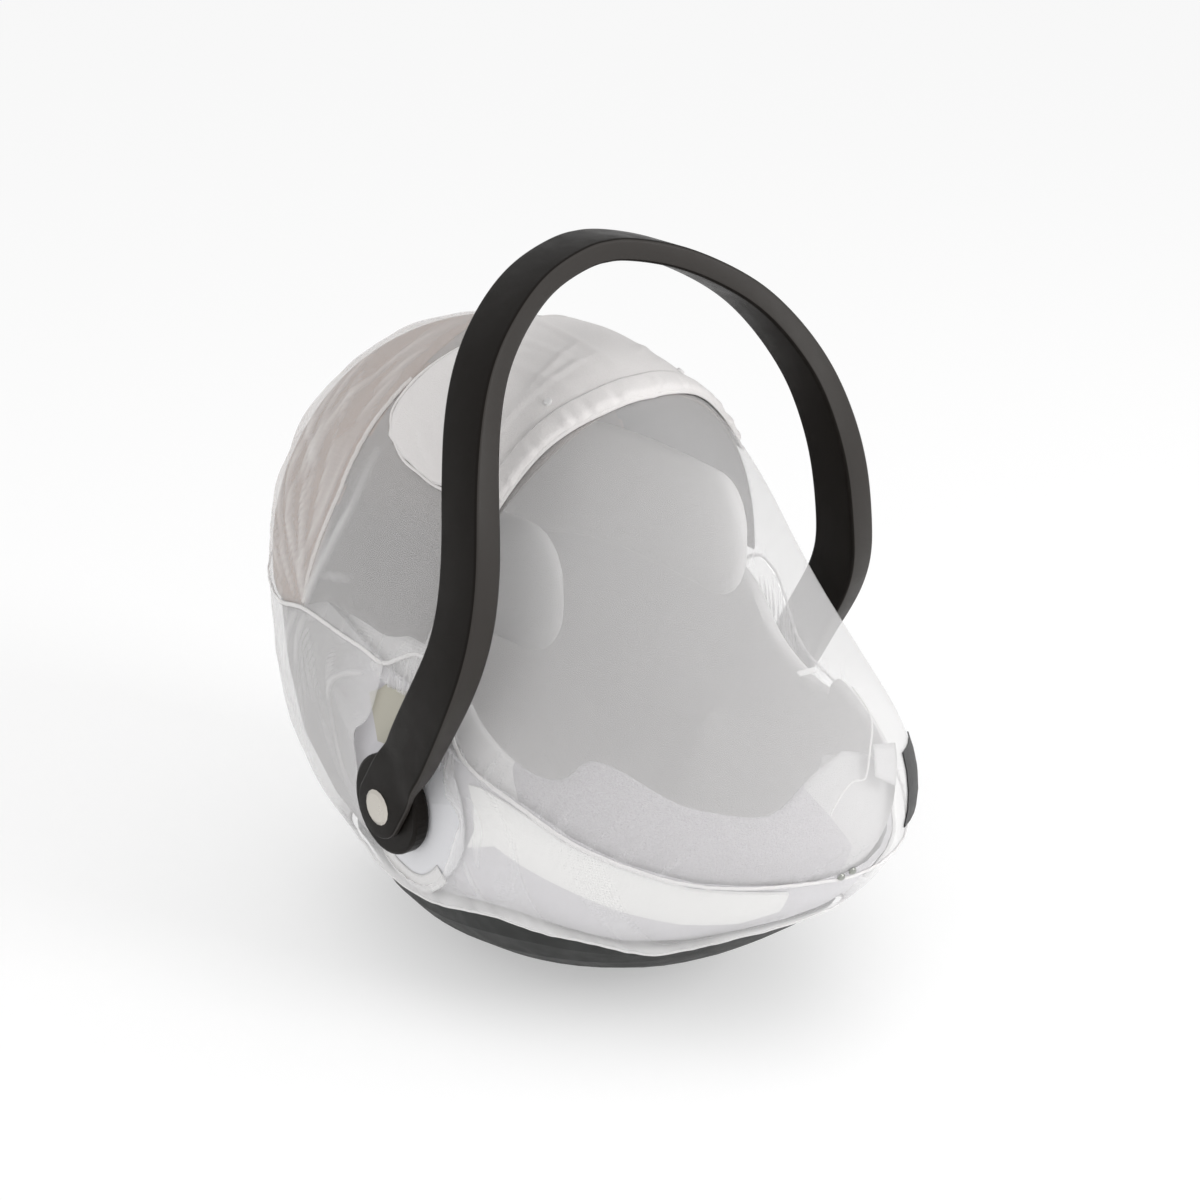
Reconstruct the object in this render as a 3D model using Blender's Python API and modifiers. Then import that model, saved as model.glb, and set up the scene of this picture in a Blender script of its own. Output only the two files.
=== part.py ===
"""Sheer mosquito net drawn over an infant carrier seat, with the carry handle through its side slots.

Metres, +Z up. -Y is the foot end, +Y the head end, X the width. The origin is on the floor, in the middle
of the flat spot that the rocker base rests on, straight below the handle's hinge axis.

The net, the shell, the base and the padding share one family of surfaces, a fan about the hinge axis. A place
on it is an angle about that axis (0 at the head end, 90 upwards, 180 at the foot end) and a share of the way
from the hinge (0) to the middle line of the seat (1).
"""

import math

import bmesh
import bpy
import numpy as np
from mathutils import Matrix, Vector

MM = 0.001

# Driving sizes
HINGE_HEIGHT = 160 * MM
HALF_WIDTH = 192 * MM
FLOOR_FLAT = 0.0

NET_THICK = 1.2 * MM
SEAM_GAP = 1.4 * MM
TAPE_WIDTH = 5.0 * MM
TAPE_THICK = 1.0 * MM
TAPE_LIFT = 0.8 * MM
VISOR_THICK = 1.4 * MM
VISOR_LIFT = 2.2 * MM
CASING_LIFT = 4.2 * MM
PIPING_RADIUS = 1.5 * MM
FACING_INSET = 2.8 * MM
CANOPY_INSET = 3.4 * MM
CANOPY_THICK = 1.6 * MM
TRIM_INSET = 4.4 * MM
TRIM_THICK = 2.4 * MM
SHELL_INSET = 8.0 * MM
SHELL_THICK = 4.0 * MM
BASE_INSET = 3.4 * MM
BASE_THICK = 4.0 * MM
LINER_INSET = 17.2 * MM

HUB_RADIUS = 41 * MM
HUB_INNER_X = 189.5 * MM
HUB_OUTER_X = 203.5 * MM
PADDLE_RADIUS = 26 * MM
PADDLE_MIDDLE_X = 207.4 * MM
PADDLE_THICK = 6.4 * MM
BADGE_RADIUS = 14.7 * MM
BADGE_THICK = 1.6 * MM

# The middle line of the net's surface: angle in degrees, reach from the hinge in millimetres, squareness
MIDDLE_LINE = (
    (-90, 170, 2.5),
    (-60, 180, 2.5),
    (-35, 205, 2.4),
    (-15, 268, 2.4),
    (0, 312, 2.4),
    (15, 338, 2.45),
    (27, 364, 2.5),
    (37, 374, 2.5),
    (45, 380, 2.35),
    (57, 374, 2.15),
    (73, 354, 1.95),
    (90, 338, 1.9),
    (105, 320, 1.85),
    (119, 299, 1.75),
    (133, 291, 1.7),
    (147, 303, 1.7),
    (159, 326, 1.75),
    (168, 337, 1.85),
    (175, 333, 1.9),
    (182, 315, 1.9),
    (195, 266, 2.0),
    (215, 218, 2.2),
    (240, 181, 2.45),
    (270, 170, 2.5),
)

# The seam round the rim, from the middle of the head end to the middle of the foot end: angle, share
RIM_SEAM = (
    (17, 1.0),
    (19, 0.8),
    (22, 0.58),
    (27.3, 0.368),
    (38, 0.275),
    (52, 0.218),
    (66, 0.208),
    (75, 0.208),
    (95, 0.256),
    (112, 0.262),
    (133, 0.234),
    (145, 0.237),
    (155.5, 0.254),
    (165.2, 0.295),
    (172.5, 0.36),
    (176.9, 0.46),
    (179.7, 0.615),
    (179.4, 0.80),
    (179.6, 1.0),
)
JUNCTION_ROW = 4

# The upright seam behind the handle, from its junction with the rim seam up to the crown: angle, share
REAR_SEAM = ((38, 0.275), (48.7, 0.35), (57.2, 0.436), (61.9, 0.531), (65.7, 0.619), (69, 0.70), (72, 1.0))
REAR_TAPE_END = (65.9, 0.625)
CANOPY_REAR_EDGE = ((33, 1.0), (33, 0.7), (36, 0.48), (45, 0.35), (60, 0.27), (78, 0.245), (99, 0.262))

# The skirt, in stations from the head end to the foot end: its upper edge, which follows the rim seam
# and dips round the hub slot, and its elastic hem, each as angle and share
SKIRT = (
    ((17, 1.0), (-22, 1.0)),
    ((19, 0.8), (-24, 0.80)),
    ((22, 0.58), (-27, 0.62)),
    ((27.3, 0.368), (-31.5, 0.48)),
    ((38, 0.275), (-36, 0.415)),
    ((52, 0.218), (-39.5, 0.378)),
    ((66, 0.208), (-43, 0.355)),
    ((75, 0.208), (-46, 0.338)),
    ((67, 0.150), (-49.5, 0.322)),
    ((45, 0.085), (-55, 0.298)),
    ((0, 0.080), (-62, 0.274)),
    ((-45, 0.125), (-71, 0.264)),
    ((-72, 0.185), (-81, 0.267)),
    ((-100, 0.222), (-98, 0.278)),
    ((-134, 0.185), (-113, 0.284)),
    ((-170, 0.160), (-126, 0.292)),
    ((-195, 0.156), (-134, 0.312)),
    ((-211, 0.163), (-141, 0.338)),
    ((-227, 0.234), (-147, 0.400)),
    ((-215, 0.237), (-150, 0.455)),
    ((-204.5, 0.254), (-152.6, 0.513)),
    ((-194.8, 0.295), (-154.4, 0.593)),
    ((-187.5, 0.36), (-155.1, 0.674)),
    ((-183.1, 0.46), (-158, 0.735)),
    ((-180.3, 0.615), (-162.5, 0.785)),
    ((-180.6, 0.80), (-167, 0.84)),
    ((-180.4, 1.0), (-171, 1.0)),
)

# The white visor over the hood: share of the way to the middle line, rear angle, front angle
VISOR_SIDES = (
    (1.0, 79.5, 104.6),
    (0.93, 79.0, 104.2),
    (0.84, 76.5, 103.4),
    (0.77, 73.5, 102.4),
    (0.68, 69.8, 101.4),
    (0.60, 68.6, 101.0),
    (0.55, 69.4, 101.0),
)
# Its lower edge: angle, share
VISOR_FOOT = ((69.4, 0.568), (74, 0.536), (79, 0.521), (84, 0.512), (93, 0.522), (101, 0.545))
CASING_WIDTH_DEG = 3.6

# The hub slot's white facing: angle, reach from the hinge in millimetres
FACING = ((-90, 69), (-45, 58), (0, 52), (40, 39), (95, 38), (135, 64), (180, 76), (225, 72), (270, 69))

# The carrier's shell: its upper rim and the line where it meets the base, as angle and share by station
SHELL = (
    ((30, 1.0), (-24, 1.0)),
    ((30, 0.80), (-26, 0.80)),
    ((31, 0.60), (-29, 0.60)),
    ((34, 0.42), (-34, 0.43)),
    ((42, 0.30), (-41, 0.34)),
    ((58, 0.215), (-50, 0.29)),
    ((84, 0.190), (-62, 0.262)),
    ((112, 0.190), (-80, 0.262)),
    ((134, 0.198), (-103, 0.268)),
    ((147, 0.218), (-123, 0.280)),
    ((157, 0.244), (-138, 0.315)),
    ((166.5, 0.290), (-147.5, 0.390)),
    ((174, 0.36), (-152, 0.500)),
    ((178.4, 0.46), (-154.5, 0.620)),
    ((181.2, 0.615), (-160, 0.74)),
    ((181.2, 0.80), (-166, 0.84)),
    ((181.2, 1.0), (-170, 1.0)),
)
# How far up the disc the shell stops above that line, and how far below the shell's edge the base starts
SHELL_EDGE_RISE = 0.014
BASE_EDGE_DROP = 0.017

# The cream side trim of the shell: its upper and its lower edge, as angle and share by station
TRIM = (
    ((154, 0.205), (192, 0.185)),
    ((157, 0.226), (183, 0.232)),
    ((166.3, 0.274), (187, 0.300)),
    ((174.4, 0.350), (189.5, 0.400)),
    ((178.6, 0.455), (191.3, 0.520)),
    ((181.6, 0.612), (191.6, 0.660)),
    ((181.6, 0.725), (189.8, 0.775)),
    ((181.9, 0.82), (186.2, 0.838)),
)

# The padded liner's rim: angle and share, from the head end to the foot end
LINER_RIM = (
    (44, 1.0),
    (45, 0.84),
    (47, 0.70),
    (52, 0.52),
    (60, 0.38),
    (76, 0.285),
    (98, 0.262),
    (120, 0.262),
    (142, 0.275),
    (158, 0.315),
    (160, 0.375),
    (157, 0.430),
    (162, 0.495),
    (167.5, 0.570),
    (169.6, 0.660),
    (170, 0.760),
    (166, 0.86),
    (163.5, 1.0),
)
# How far the padding stands in from the liner's outside: angle, millimetres
PADDING = ((-90, 58), (-40, 46), (0, 40), (45, 26), (90, 22), (150, 26), (180, 30), (225, 50), (270, 58))

# The headrest's middle line: x, y, z from the hinge in millimetres. Its back rests on the liner's head end.
HEADREST = (
    (-93, -85, 170),
    (-97, -40, 172),
    (-102, 30, 174),
    (-98, 110, 175),
    (-82, 176, 166),
    (-46, 222, 156),
    (0, 244, 150),
    (46, 222, 156),
    (82, 176, 166),
    (98, 110, 175),
    (102, 30, 174),
    (97, -40, 172),
    (93, -85, 170),
)
HEADREST_THICK = 24 * MM
HEADREST_HEIGHT = 104 * MM

# The belt guide's plate: angle and share of its upper and lower corners by station
BELT_GUIDE = (((58, 0.140), (50, 0.066)), ((72, 0.172), (66, 0.076)), ((88, 0.182), (92, 0.092)))
BELT_GUIDE_INSET = 4.6 * MM
BELT_GUIDE_THICK = 2.4 * MM

# The handle's middle line on the near side, up from the hub: x, y, z, width and thickness in millimetres
HANDLE = (
    (-207.4, 0.0, 0.0, 52.0, 6.4),
    (-207.4, -11.5, 17.5, 51.5, 6.4),
    (-207.4, -23.5, 35.5, 50.5, 6.6),
    (-204.8, -36.0, 53.0, 49.5, 13.5),
    (-203.6, -53.0, 80.0, 48.0, 18.0),
    (-202.6, -73.5, 113.0, 47.0, 21.0),
    (-198.4, -88.5, 146.0, 46.0, 23.0),
    (-192.4, -94.5, 178.0, 45.0, 24.0),
    (-187.4, -95.0, 210.0, 45.0, 24.0),
    (-183.0, -91.5, 239.0, 44.5, 23.5),
    (-177.6, -84.5, 267.0, 44.0, 22.5),
    (-169.8, -75.0, 295.0, 44.0, 21.0),
    (-158.6, -63.5, 321.0, 44.0, 20.0),
    (-143.0, -51.0, 346.0, 44.0, 19.0),
    (-121.5, -38.5, 369.0, 44.0, 18.5),
    (-92.0, -24.5, 389.0, 44.0, 18.0),
    (-57.0, -12.5, 404.5, 44.0, 18.0),
    (-20.0, -6.0, 413.5, 44.0, 18.0),
    (0.0, -5.0, 415.0, 44.0, 18.0),
)
PADDLE_STEPS = 5

# The blank woven patch on the foot end, off centre: angle and share of its corners by station
PATCH = (((165.5, 0.62), (165.5, 0.80)), ((170.5, 0.64), (170.5, 0.82)), ((175.5, 0.66), (175.5, 0.84)))


# Shapes


def spline(rows, column, period=None):
    """Natural cubic through one column of a table over its first column, or a periodic one."""
    xs = np.array([row[0] for row in rows], float)
    ys = np.array([row[column] for row in rows], float)
    count = len(xs)
    steps = np.diff(xs)
    slopes = np.diff(ys) / steps
    matrix = np.eye(count)
    right = np.zeros(count)
    for i in range(1, count - 1):
        matrix[i, i - 1 : i + 2] = steps[i - 1], 2 * (steps[i - 1] + steps[i]), steps[i]
        right[i] = 6 * (slopes[i] - slopes[i - 1])
    if period:
        matrix[0, :2] = 2 * (steps[-1] + steps[0]), steps[0]
        matrix[0, -2] = steps[-1]
        right[0] = 6 * (slopes[0] - slopes[-1])
        matrix[-1, 0] = 1
        matrix[-1, -1] = -1
    bend = np.linalg.solve(matrix, right)

    def value(x):
        x = np.asarray(x, float)
        if period:
            x = (x - xs[0]) % period + xs[0]
        i = np.clip(np.searchsorted(xs, x, side="right") - 1, 0, count - 2)
        t, h = x - xs[i], steps[i]
        linear = slopes[i] - h * (2 * bend[i] + bend[i + 1]) / 6
        return ys[i] + t * (linear + t * (bend[i] / 2 + t * (bend[i + 1] - bend[i]) / (6 * h)))

    return value


reach_mm = spline(MIDDLE_LINE, 1, 360)
squareness = spline(MIDDLE_LINE, 2, 360)
padding_mm = spline(PADDING, 1, 360)


def fan_point(angle, share, inset):
    """A place on the near half (-X) of the fan surface, this far inside the net's outer face."""
    round_power = 2 / squareness(angle)
    turn = np.asarray(share) * math.pi / 2
    across = (HALF_WIDTH - inset) * np.cos(turn).clip(0) ** round_power
    reach = (reach_mm(angle) * MM - inset) * np.sin(turn) ** round_power
    radians = np.radians(angle)
    height = np.maximum(reach * np.sin(radians) + HINGE_HEIGHT, FLOOR_FLAT)
    return np.stack([-across, reach * np.cos(radians), height], -1)


def on_disc(angle, share):
    """The fan flattened to a disc, where straight lines between places stay smooth."""
    radians = np.radians(angle)
    return np.stack([share * np.cos(radians), share * np.sin(radians)], -1)


def off_disc(flat, inset):
    share = np.hypot(flat[..., 0], flat[..., 1]).clip(0, 1)
    return fan_point(np.degrees(np.arctan2(flat[..., 1], flat[..., 0])), share, inset)


def disc_table(rows):
    rows = np.array(rows, float)
    return on_disc(rows[:, 0], rows[:, 1])


def resample(flat, count):
    """Places evenly spread along a line on the disc, by real length."""
    real = off_disc(flat, 0.0)
    along = np.concatenate([[0], np.cumsum(np.linalg.norm(np.diff(real, axis=0), axis=1) + 1e-9)])
    wanted = np.linspace(0, along[-1], count)
    return np.stack([np.interp(wanted, along, flat[:, i]) for i in (0, 1)], -1)


def refine(flat, steps):
    """Each stretch of a line on the disc cut into this many."""
    places = np.linspace(0, len(flat) - 1, (len(flat) - 1) * steps + 1)
    return np.stack([np.interp(places, np.arange(len(flat)), flat[:, i]) for i in (0, 1)], -1)


def between(lower, upper, rows):
    """A grid of disc places between two lines: straight near the hinge, round the disc's edge far out."""
    v = np.linspace(0, 1, rows)[None, :, None]
    straight = lower[:, None] * (1 - v) + upper[:, None] * v
    radius = np.linalg.norm(straight, axis=-1, keepdims=True)
    even = np.linalg.norm(lower, axis=-1)[:, None, None] * (1 - v)
    even = even + np.linalg.norm(upper, axis=-1)[:, None, None] * v
    weight = np.clip(2 * even - 1, 0, 1)
    return straight * (1 - weight + weight * even / radius)


def four_sided(bottom, top, left, right):
    """A grid of disc places that fills four boundary lines, after Coons."""
    u = np.linspace(0, 1, len(bottom))[:, None, None]
    v = np.linspace(0, 1, len(left))[None, :, None]
    sides = (1 - u) * left[None] + u * right[None]
    ends = (1 - v) * bottom[:, None] + v * top[:, None]
    corners = (1 - u) * ((1 - v) * bottom[0] + v * top[0])
    corners = corners + u * ((1 - v) * bottom[-1] + v * top[-1])
    return sides + ends - corners


def pull_in(grid, gap, bottom=False, left=False, right=False):
    """Draws a grid's edges back from its neighbours by a real distance."""
    real = off_disc(grid, 0.0)
    moved = grid.copy()
    pairs = []
    if bottom:
        pairs.append(((slice(None), 0), (slice(None), 1)))
    if left:
        pairs.append(((0, slice(None)), (1, slice(None))))
    if right:
        pairs.append(((-1, slice(None)), (-2, slice(None))))
    for edge, inner in pairs:
        length = np.linalg.norm(real[inner] - real[edge], axis=-1).clip(gap / 0.7)
        moved[edge] = moved[edge] + (grid[inner] - grid[edge]) * (gap / length)[..., None]
    return moved


# Objects


def clear_scene():
    for obj in list(bpy.data.objects):
        bpy.data.objects.remove(obj, do_unlink=True)


def material(name, colour, roughness, metallic=0.0):
    made = bpy.data.materials.new(name)
    made.use_nodes = True
    shader = made.node_tree.nodes["Principled BSDF"]
    shader.inputs["Base Color"].default_value = (*colour, 1.0)
    shader.inputs["Roughness"].default_value = roughness
    shader.inputs["Metallic"].default_value = metallic
    made.diffuse_color = (*colour, 1.0)
    return made


def new_object(name, mesh, finish, smooth=True):
    mesh.materials.append(finish)
    if smooth:
        mesh.shade_smooth()
        mesh.set_sharp_from_angle(angle=math.radians(40))
    obj = bpy.data.objects.new(name, mesh)
    parts.objects.link(obj)
    return obj


def grid_mesh(name, points, outward):
    """An open sheet from a grid of points that faces outward, with points that coincide welded into one."""
    shell = bmesh.new()
    columns, rows = points.shape[:2]
    a, b = columns // 2 - 1, rows // 2 - 1
    facing = np.cross(points[a + 1, b + 1] - points[a, b], points[a, b + 1] - points[a + 1, b])
    flip = np.dot(facing, outward) < 0
    verts = [[shell.verts.new(points[i, j]) for j in range(rows)] for i in range(columns)]
    for i in range(columns - 1):
        for j in range(rows - 1):
            corners = [verts[i][j], verts[i + 1][j], verts[i + 1][j + 1], verts[i][j + 1]]
            shell.faces.new(corners[::-1] if flip else corners)
    bmesh.ops.remove_doubles(shell, verts=shell.verts, dist=0.02 * MM)
    bmesh.ops.dissolve_degenerate(shell, edges=shell.edges, dist=0.01 * MM)
    mesh = bpy.data.meshes.new(name)
    shell.to_mesh(mesh)
    shell.free()
    return mesh


def sheet(name, disc_grid, inset, thickness, finish, both_sides=True, far=False):
    """A cloth or a moulded skin: a grid of the near half, mirrored, thickened inwards."""
    points = off_disc(disc_grid, inset)
    middle = disc_grid[disc_grid.shape[0] // 2 - 1, disc_grid.shape[1] // 2 - 1]
    outward = surface_normal(middle[None], inset)[0]
    if far:
        points = points * np.array([-1, 1, 1])
        outward = outward * np.array([-1, 1, 1])
    obj = new_object(name, grid_mesh(name, points, outward), finish)
    if both_sides:
        mirror = obj.modifiers.new("Mirror", "MIRROR")
        mirror.merge_threshold = 0.05 * MM
    thicken = obj.modifiers.new("Thickness", "SOLIDIFY")
    thicken.thickness = thickness
    thicken.offset = -1
    return obj


def surface_normal(flat, inset):
    """The outward direction of the fan surface at places on the disc."""
    step = 1e-3
    inner = flat * 0.999
    across = off_disc(inner + np.array([step, 0]), inset) - off_disc(inner - np.array([step, 0]), inset)
    along = off_disc(inner + np.array([0, step]), inset) - off_disc(inner - np.array([0, step]), inset)
    normal = np.cross(along, across)
    away = off_disc(inner, inset) - np.array([0, 0, HINGE_HEIGHT])
    normal = normal * np.sign((normal * away).sum(-1))[..., None]
    return normal / np.linalg.norm(normal, axis=-1, keepdims=True)


def tape(name, line, finish, both_sides=True, width=TAPE_WIDTH, lift=TAPE_LIFT):
    """A binding tape that lies along a line of the net, a little above it."""
    centre = off_disc(line, 0.0)
    normal = surface_normal(line, 0.0)
    along = np.gradient(centre, axis=0)
    along = along / np.linalg.norm(along, axis=-1, keepdims=True)
    side = np.cross(normal, along)
    side = side / np.linalg.norm(side, axis=-1, keepdims=True)
    top = lift + TAPE_THICK
    edges = np.stack([centre + normal * top + side * s * width / 2 for s in (-1, 1)], 1)
    on_middle = np.hypot(line[:, 0], line[:, 1]) > 0.9999
    edges[on_middle, :, 0] = 0
    obj = new_object(name, grid_mesh(name, edges, normal[len(normal) // 2]), finish)
    if both_sides:
        mirror = obj.modifiers.new("Mirror", "MIRROR")
        mirror.merge_threshold = 0.05 * MM
    thicken = obj.modifiers.new("Thickness", "SOLIDIFY")
    thicken.thickness = TAPE_THICK
    thicken.offset = -1
    return obj


def lofted(name, rings, finish):
    """A closed body through rings of equal count, capped at both ends."""
    body = bmesh.new()
    verts = [[body.verts.new(point) for point in ring] for ring in rings]
    count = len(verts[0])
    for lower, upper in zip(verts, verts[1:]):
        for i in range(count):
            j = (i + 1) % count
            body.faces.new([lower[i], lower[j], upper[j], upper[i]])
    body.faces.new(verts[0][::-1])
    body.faces.new(verts[-1])
    bmesh.ops.remove_doubles(body, verts=body.verts, dist=0.02 * MM)
    bmesh.ops.recalc_face_normals(body, faces=body.faces)
    mesh = bpy.data.meshes.new(name)
    body.to_mesh(mesh)
    body.free()
    return new_object(name, mesh, finish)


# Net


def make_net():
    seam = disc_table(RIM_SEAM)
    rear = disc_table(REAR_SEAM)
    crown = 72
    front_columns, front_rows = 22, 10
    bottom = resample(refine(seam[JUNCTION_ROW:], 6), front_columns)
    angles = np.linspace(crown, RIM_SEAM[-1][0], front_columns)
    top = on_disc(angles, np.ones(front_columns))
    left = resample(refine(rear, 6), front_rows)
    right = np.repeat(seam[-1][None], front_rows, axis=0)
    grid = four_sided(bottom, top, left, right)
    grid = pull_in(grid, SEAM_GAP / 2, bottom=True, left=True)
    grid[0, -1] = on_disc(crown + 0.2, 1.0)
    sheet("net_front_panel", grid, 0.0, NET_THICK, net_cloth)

    rear_columns = 9
    bottom = resample(refine(seam[: JUNCTION_ROW + 1], 6), rear_columns)
    angles = np.linspace(RIM_SEAM[0][0], crown, rear_columns)
    top = on_disc(angles, np.ones(rear_columns))
    left = np.repeat(seam[0][None], front_rows, axis=0)
    grid = four_sided(bottom, top, left, resample(refine(rear, 6), front_rows))
    grid = pull_in(grid, SEAM_GAP / 2, bottom=True, right=True)
    grid[-1, -1] = on_disc(crown - 0.2, 1.0)
    sheet("net_rear_panel", grid, 0.0, NET_THICK, net_cloth)

    upper = refine(disc_table([pair[0] for pair in SKIRT]), 2)
    hem = refine(disc_table([pair[1] for pair in SKIRT]), 2)
    grid = between(upper, hem, 6)
    grid = pull_in(grid, SEAM_GAP / 2, bottom=True)
    sheet("net_skirt", grid, 0.0, NET_THICK, net_cloth)


def make_tapes():
    seam = disc_table(RIM_SEAM)
    tape("rim_seam_tape", resample(refine(seam, 6), 40), tape_cloth)
    rear = resample(refine(disc_table((*REAR_SEAM[:4], REAR_TAPE_END)), 6), 16)[1:]
    for side in ("left", "right"):
        strip = tape(f"rear_seam_tape_{side}", rear, tape_cloth, both_sides=False)
        if side == "right":
            mirror_mesh(strip)


def mirror_mesh(obj):
    obj.data.transform(Matrix.Scale(-1, 4, Vector((1, 0, 0))))
    obj.data.flip_normals()


def make_visor():
    rear_edge = spline([(-row[0], row[1]) for row in VISOR_SIDES], 1)
    front_edge = spline([(-row[0], row[2]) for row in VISOR_SIDES], 1)
    foot = np.array(VISOR_FOOT)
    columns, rows = 9, 10
    grid = np.zeros((columns, rows, 2))
    for i, u in enumerate(np.linspace(0, 1, columns)):
        foot_angle = foot[0, 0] * (1 - u) + foot[-1, 0] * u
        foot_share = np.interp(foot_angle, foot[:, 0], foot[:, 1])
        share = 1 - np.linspace(0, 1, rows) * (1 - foot_share)
        angle = rear_edge(-share) * (1 - u) + front_edge(-share) * u
        grid[i] = on_disc(angle, share)
    sheet("visor", grid, -(VISOR_LIFT + VISOR_THICK), VISOR_THICK, visor_cloth)

    share = np.linspace(1, 0.58, 14)
    front = front_edge(-share)
    casing = np.stack([on_disc(front - CASING_WIDTH_DEG, share), on_disc(front - 0.4, share)])
    sheet("visor_casing", casing, -(CASING_LIFT + VISOR_THICK), VISOR_THICK, visor_cloth)

    share = np.linspace(1, 0.568, 16)
    back = on_disc(rear_edge(-share) - 0.9, share)
    lower = disc_table(VISOR_FOOT)[1:] * 0.985
    line = resample(refine(np.concatenate([back, lower]), 3), 20)
    centre = off_disc(line, -(VISOR_LIFT + VISOR_THICK / 2))
    centre[0, 0] = 0
    path = np.concatenate([centre[::-1], (centre * np.array([-1, 1, 1]))[1:]])
    curve = bpy.data.curves.new("visor_piping", "CURVE")
    curve.dimensions = "3D"
    curve.bevel_depth = PIPING_RADIUS
    curve.bevel_resolution = 1
    curve.use_fill_caps = True
    strand = curve.splines.new("POLY")
    strand.points.add(len(path) - 1)
    for point, place in zip(strand.points, path):
        point.co = (*place, 1)
    curve.materials.append(visor_cloth)
    parts.objects.link(bpy.data.objects.new("visor_piping", curve))

    stud_place = on_disc(96.4, 0.766)[None]
    spot = off_disc(stud_place, -(VISOR_LIFT + VISOR_THICK + 0.4 * MM))[0]
    out = surface_normal(stud_place, 0.0)[0]
    for side, sign in (("left", 1), ("right", -1)):
        button = disc_button(f"visor_stud_{side}", 3.5 * MM, 1.8 * MM, tape_cloth)
        place_button(button, spot * (sign, 1, 1), out * (sign, 1, 1))


def disc_button(name, radius, thick, finish):
    """A small turned button that stands on its back face."""
    mesh = bpy.data.meshes.new(name)
    body = bmesh.new()
    bmesh.ops.create_cone(
        body, cap_ends=True, segments=16, radius1=radius, radius2=radius * 0.8, depth=thick
    )
    bmesh.ops.translate(body, verts=body.verts, vec=(0, 0, thick / 2))
    body.to_mesh(mesh)
    body.free()
    return new_object(name, mesh, finish)


def place_button(obj, spot, out):
    turn = Vector(out).to_track_quat("Z", "Y").to_matrix().to_4x4()
    obj.matrix_world = Matrix.Translation(Vector(spot)) @ turn


def make_patch():
    places = between(*(refine(disc_table([pair[k] for pair in PATCH]), 2) for k in (0, 1)), 5)
    sheet("blank_patch", places, -1.6 * MM, 1.0 * MM, patch_cloth, both_sides=False, far=True)


# Carrier


def make_shell():
    rim = refine(disc_table([pair[0] for pair in SHELL]), 2)
    lower = refine(disc_table([pair[1] for pair in SHELL]), 2) + np.array([0, SHELL_EDGE_RISE])
    lower[0] /= np.linalg.norm(lower[0])
    lower[-1] /= np.linalg.norm(lower[-1])
    sheet("shell", between(rim, lower, 6), SHELL_INSET, SHELL_THICK, shell_plastic)

    edge = lower - np.array([0, BASE_EDGE_DROP])
    edge[0] /= np.linalg.norm(edge[0])
    edge[-1] /= np.linalg.norm(edge[-1])
    first, last = np.degrees(np.arctan2(edge[[0, -1], 1], edge[[0, -1], 0]))
    keel = on_disc(np.linspace(first, last, len(edge)), np.ones(len(edge)))
    sheet("rocker_base", between(edge, keel, 7), BASE_INSET, BASE_THICK, base_plastic)

    trim_top = refine(disc_table([pair[0] for pair in TRIM]), 3)
    trim_bottom = refine(disc_table([pair[1] for pair in TRIM]), 3)
    for side in ("left", "right"):
        grid = between(trim_top, trim_bottom, 4)
        sheet(
            f"rim_trim_{side}",
            grid,
            TRIM_INSET,
            TRIM_THICK,
            cream_plastic,
            both_sides=False,
            far=side == "right",
        )


def make_liner():
    """The padded bucket: an outer skin, an inner skin set in by the padding, and a rolled rim."""
    rim = refine(disc_table(LINER_RIM), 2)
    count = len(rim)
    keel = on_disc(np.linspace(LINER_RIM[0][0], LINER_RIM[-1][0] - 360, count), np.ones(count))
    outer_grid = between(rim, keel, 8)
    angle = np.degrees(np.arctan2(outer_grid[..., 1], outer_grid[..., 0]))
    depth = np.linspace(0, 1, 8)[None, :]
    swell = np.sin(np.clip(depth * 2.2, 0, 1) * math.pi / 2)
    set_in = (10 + (padding_mm(angle) - 10) * swell) * MM
    outer = off_disc(outer_grid, LINER_INSET)
    inner = off_disc(outer_grid, LINER_INSET + set_in)
    near = np.concatenate([outer[:, ::-1], inner], axis=1)
    full = np.concatenate([near, (near * np.array([-1, 1, 1]))[-2:0:-1]])
    body = bmesh.new()
    verts = [[body.verts.new(point) for point in row] for row in full]
    columns = len(verts)
    rows = len(verts[0])
    for i in range(columns):
        k = (i + 1) % columns
        for j in range(rows - 1):
            body.faces.new([verts[i][j], verts[k][j], verts[k][j + 1], verts[i][j + 1]])
    bmesh.ops.remove_doubles(body, verts=body.verts, dist=0.05 * MM)
    bmesh.ops.recalc_face_normals(body, faces=body.faces)
    mesh = bpy.data.meshes.new("seat_liner")
    body.to_mesh(mesh)
    body.free()
    new_object("seat_liner", mesh, liner_cloth)


def make_headrest():
    """The winged pad: a U of padding from one side of the face round the head to the other."""
    rows = [(i, *row) for i, row in enumerate(HEADREST)]
    tracks = [spline(rows, column) for column in (1, 2, 3)]
    fine = np.linspace(0, len(HEADREST) - 1, 27)
    centre = np.stack([track(fine) for track in tracks], -1) * MM
    along = np.gradient(centre, axis=0)
    along = along / np.linalg.norm(along, axis=1, keepdims=True)
    rings = []
    for place, direction, number in zip(centre, along, fine):
        end = min(number, len(HEADREST) - 1 - number)
        close = math.sqrt(max(0.04, 1 - (1 - min(end / 0.9, 1)) ** 2))
        side = np.cross(direction, (0, 0, 1))
        side = side / np.linalg.norm(side)
        ring = []
        for turn in np.radians(np.arange(0, 360, 36)):
            out = math.copysign(abs(math.cos(turn)) ** 0.8, math.cos(turn)) * HEADREST_THICK / 2
            up = math.copysign(abs(math.sin(turn)) ** 0.7, math.sin(turn)) * HEADREST_HEIGHT / 2
            ring.append(place + (side * out + np.array([0, 0, up])) * close + np.array([0, 0, HINGE_HEIGHT]))
        rings.append(ring)
    lofted("headrest_pad", rings, headrest_cloth)


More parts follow.
